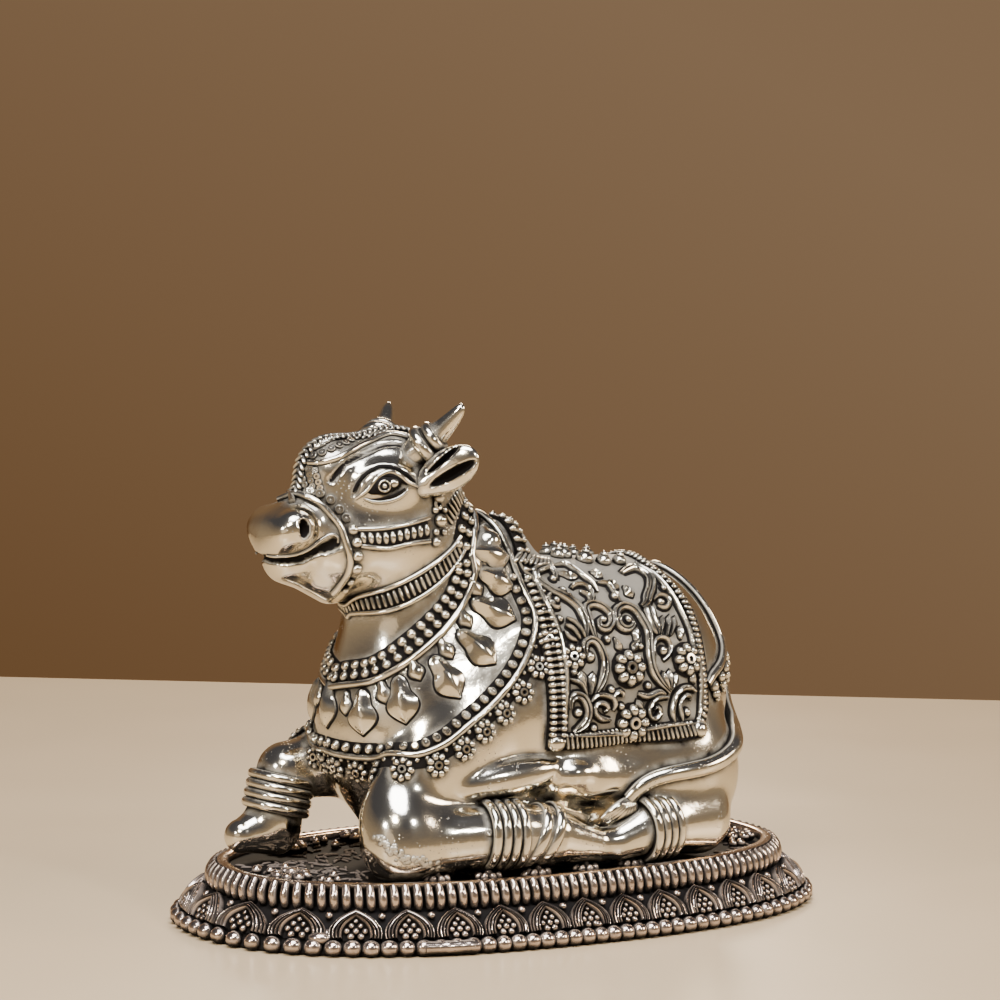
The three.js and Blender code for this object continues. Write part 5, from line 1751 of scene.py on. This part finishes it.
class NANDI_OT_petals(bpy.types.Operator):
    """Sets the domed lotus petals: nested ribs over a cluster of beads, with a drop between each two"""
    bl_idname = "nandi.petals"
    bl_label = "Lotus petals"

    RIBS = 4
    # Half width of a petal at heights from its foot to its pointed tip, as shares
    OUTLINE = [
        (0, 0.96), (0.14, 1), (0.34, 0.98), (0.54, 0.87), (0.7, 0.69), (0.83, 0.46), (0.92, 0.25),
        (0.97, 0.1), (1, 0),
    ]
    # The beads at a petal's foot as [across, up, diameter in mm]
    CLUSTER = [
        (-0.18, 0.1, 1.05), (0.18, 0.1, 1.05), (-0.33, 0.3, 0.9), (0, 0.3, 0.95), (0.33, 0.3, 0.9),
        (-0.17, 0.48, 0.85), (0.17, 0.48, 0.85), (0, 0.64, 0.75),
    ]

    @staticmethod
    def band(share, height, lift):
        """A place on the sloping band: height 0 at its foot and 1 at its top, lifted square to its slope."""
        height = np.asarray(height, float)
        bulge = 0.5 * np.sin(math.pi * np.clip(height, 0, 1))
        return FLOOR_EDGE.at(share, 6.2 - 3.1 * height + bulge + 0.7 * lift, 2.0 + 3.5 * height + 0.72 * lift)

    def execute(self, context):
        count = context.scene.nandi_sizes.petals
        petals = Casting(0)
        half = 0.5 / count
        heights, widths = np.array(self.OUTLINE).T
        v = np.linspace(-1, 1, 29)
        up = np.interp(1 - np.abs(v) ** 1.25, np.linspace(0, 1, len(heights)), heights)
        x = np.sign(v) * np.interp(up, heights, widths)
        # Nested arches: the ribs fill the outer half, and the black hollow with the beads lies inside them
        q = np.r_[0.15, 0.46, np.linspace(0.5, 1, 26)][:, None]
        rise = np.where(q < 0.5, 1.5 * q, 0.5 + 0.5 * q)
        wave = np.sin(math.pi * self.RIBS * np.clip((1 - q) / 0.5, 0, 1)) ** 2
        lift = 0.15 + 0.6 * np.sqrt(np.clip(1 - q * q, 0, 1)) * (q >= 0.5) + 0.5 * wave ** 0.7 + 0 * x
        lift[-1] = -0.35
        soot = (np.clip(1.5 - 4 * wave, 0, 1) + 0 * x).ravel()
        i, j = np.meshgrid(np.arange(len(q) - 1), np.arange(len(v) - 1), indexing="ij")
        a = (i * len(v) + j).ravel()
        quads = np.stack([a, a + 1, a + 1 + len(v), a + len(v)], -1)
        for k in range(count):
            centre = (k + 0.5) / count
            petals.add(self.band(centre + half * q * x, rise * up, lift), quads, soot)
            out = unit(0.7 * FLOOR_EDGE.outward(centre) + np.array([0, 0, 0.72]))
            spots = np.vstack([self.band(centre + a * half, b, 0.45) for a, b, _ in self.CLUSTER])
            petals.stamp(BEAD, spots, out, (0, 0, 1), [(d, d, d) for _, _, d in self.CLUSTER])
            between = self.band([centre + half], [0.84], 0.15)
            petals.stamp(BEAD, between, out, (0, 0, 1), (1.1, 1.1, 1))
        petals.piece("plinth_lotus_petals", plinth_silver(), PLINTH_SLOT)
        return {"FINISHED"}


class NANDI_OT_plinth_floor(bpy.types.Operator):
    """Scatters flowers, beads and leaves over the plinth's sunk floor"""
    bl_idname = "nandi.plinth_floor"
    bl_label = "Floor ornament"

    FLOWERS = 14
    CURLS = 520
    # Beads about the flowers as [distance outside the edge, shift in pitches of the flowers, size in mm]
    BEADS = [(-3, 0.42, 1.2), (-2.2, 0.5, 1.4), (-3.8, 0.58, 1.1), (-6.8, 0.5, 1.3)]
    # Shares of the way round at which small flowers stand before the near legs
    PEEPING = [0.612, 0.648, 0.686, 0.724, 0.762, 0.8]

    def execute(self, context):
        ground = Casting(0)
        random = np.random.default_rng(11)
        petal = ball(12, 6)
        flower_shape = merged(
            *[(petal, (0.31, 0.27, 0.34), (0.34 * math.cos(a), 0.34 * math.sin(a), 0), a)
              for a in np.arange(8) * math.pi / 4],
            (petal, (0.32, 0.32, 0.46), (0, 0, 0.04), 0),
        )
        shares = (np.arange(self.FLOWERS) + 0.5) / self.FLOWERS
        spots = self.clear(FLOOR_EDGE.at(shares, -3.6, FLOOR_HEIGHT + 0.7), 1.2)
        ground.stamp(flower_shape, spots, (0, 0, 1), (1, 0, 0), (6.2, 6.2, 4.6))
        # Smaller flowers peep out between the folded near leg and the rim
        spots = self.clear(FLOOR_EDGE.at(np.array(self.PEEPING), -2.0, FLOOR_HEIGHT + 0.8), 0.1)
        ground.stamp(flower_shape, spots, (0, 0, 1), (1, 0, 0), (4.4, 3.4, 4.6))
        for reach, shift, size in self.BEADS:
            spots = self.clear(FLOOR_EDGE.at(shares + shift / self.FLOWERS, reach, FLOOR_HEIGHT + 0.5), 0.7)
            ground.stamp(BEAD, spots, (0, 0, 1), (1, 0, 0), (size, size, 1.2 * size))
        # Low curls that stay nearly black
        shares, reaches = random.uniform(0, 1, self.CURLS), random.uniform(-15, -0.8, self.CURLS)
        spots = self.clear(FLOOR_EDGE.at(shares, reaches, FLOOR_HEIGHT + 0.05), 0.6)
        turns = random.uniform(0, math.pi, len(spots))
        ways = np.stack([np.cos(turns), np.sin(turns), 0 * turns], -1)
        ground.stamp(BAR, spots, (0, 0, 1), ways, (1.7, 0.5, 0.6), soot=0.8)
        ground.piece("plinth_floor_ornament", plinth_silver(), PLINTH_SLOT)
        return {"FINISHED"}

    @staticmethod
    def clear(spots, margin):
        """Leaves out places that the bull stands on."""
        figure = np.array(spots, float)
        figure[:, 2] = 1.0
        return spots[BODY(figure) > margin]


PIECES = (
    NANDI_OT_stage, NANDI_OT_bull, NANDI_OT_face, NANDI_OT_harness, NANDI_OT_bib, NANDI_OT_saddle_cloth,
    NANDI_OT_crupper, NANDI_OT_anklets, NANDI_OT_tail, NANDI_OT_plinth, NANDI_OT_plinth_beads, NANDI_OT_reeds,
    NANDI_OT_petals, NANDI_OT_plinth_floor,
)


class NANDI_PT_panel(bpy.types.Panel):
    """Lists the figure's settings and the operators that make its pieces"""
    bl_idname = "NANDI_PT_panel"
    bl_label = "Nandi bull"
    bl_space_type = "VIEW_3D"
    bl_region_type = "UI"
    bl_category = "Nandi"

    def draw(self, context):
        for settings in (context.scene.nandi_sizes, context.scene.nandi_colours):
            for name in settings.bl_rna.properties.keys():
                if name not in ("rna_type", "name"):
                    self.layout.prop(settings, name)
        for piece in PIECES:
            self.layout.operator(piece.bl_idname)


CLASSES = (NandiSizes, NandiColours) + PIECES + (NANDI_PT_panel,)


def register():
    for part in CLASSES:
        bpy.utils.register_class(part)
    bpy.types.Scene.nandi_sizes = bpy.props.PointerProperty(type=NandiSizes)
    bpy.types.Scene.nandi_colours = bpy.props.PointerProperty(type=NandiColours)


def unregister():
    del bpy.types.Scene.nandi_colours
    del bpy.types.Scene.nandi_sizes
    for part in reversed(CLASSES):
        bpy.utils.unregister_class(part)


def main():
    register()
    for piece in PIECES:
        group, name = piece.bl_idname.split(".")
        getattr(getattr(bpy.ops, group), name)()


if __name__ == "__main__":
    main()
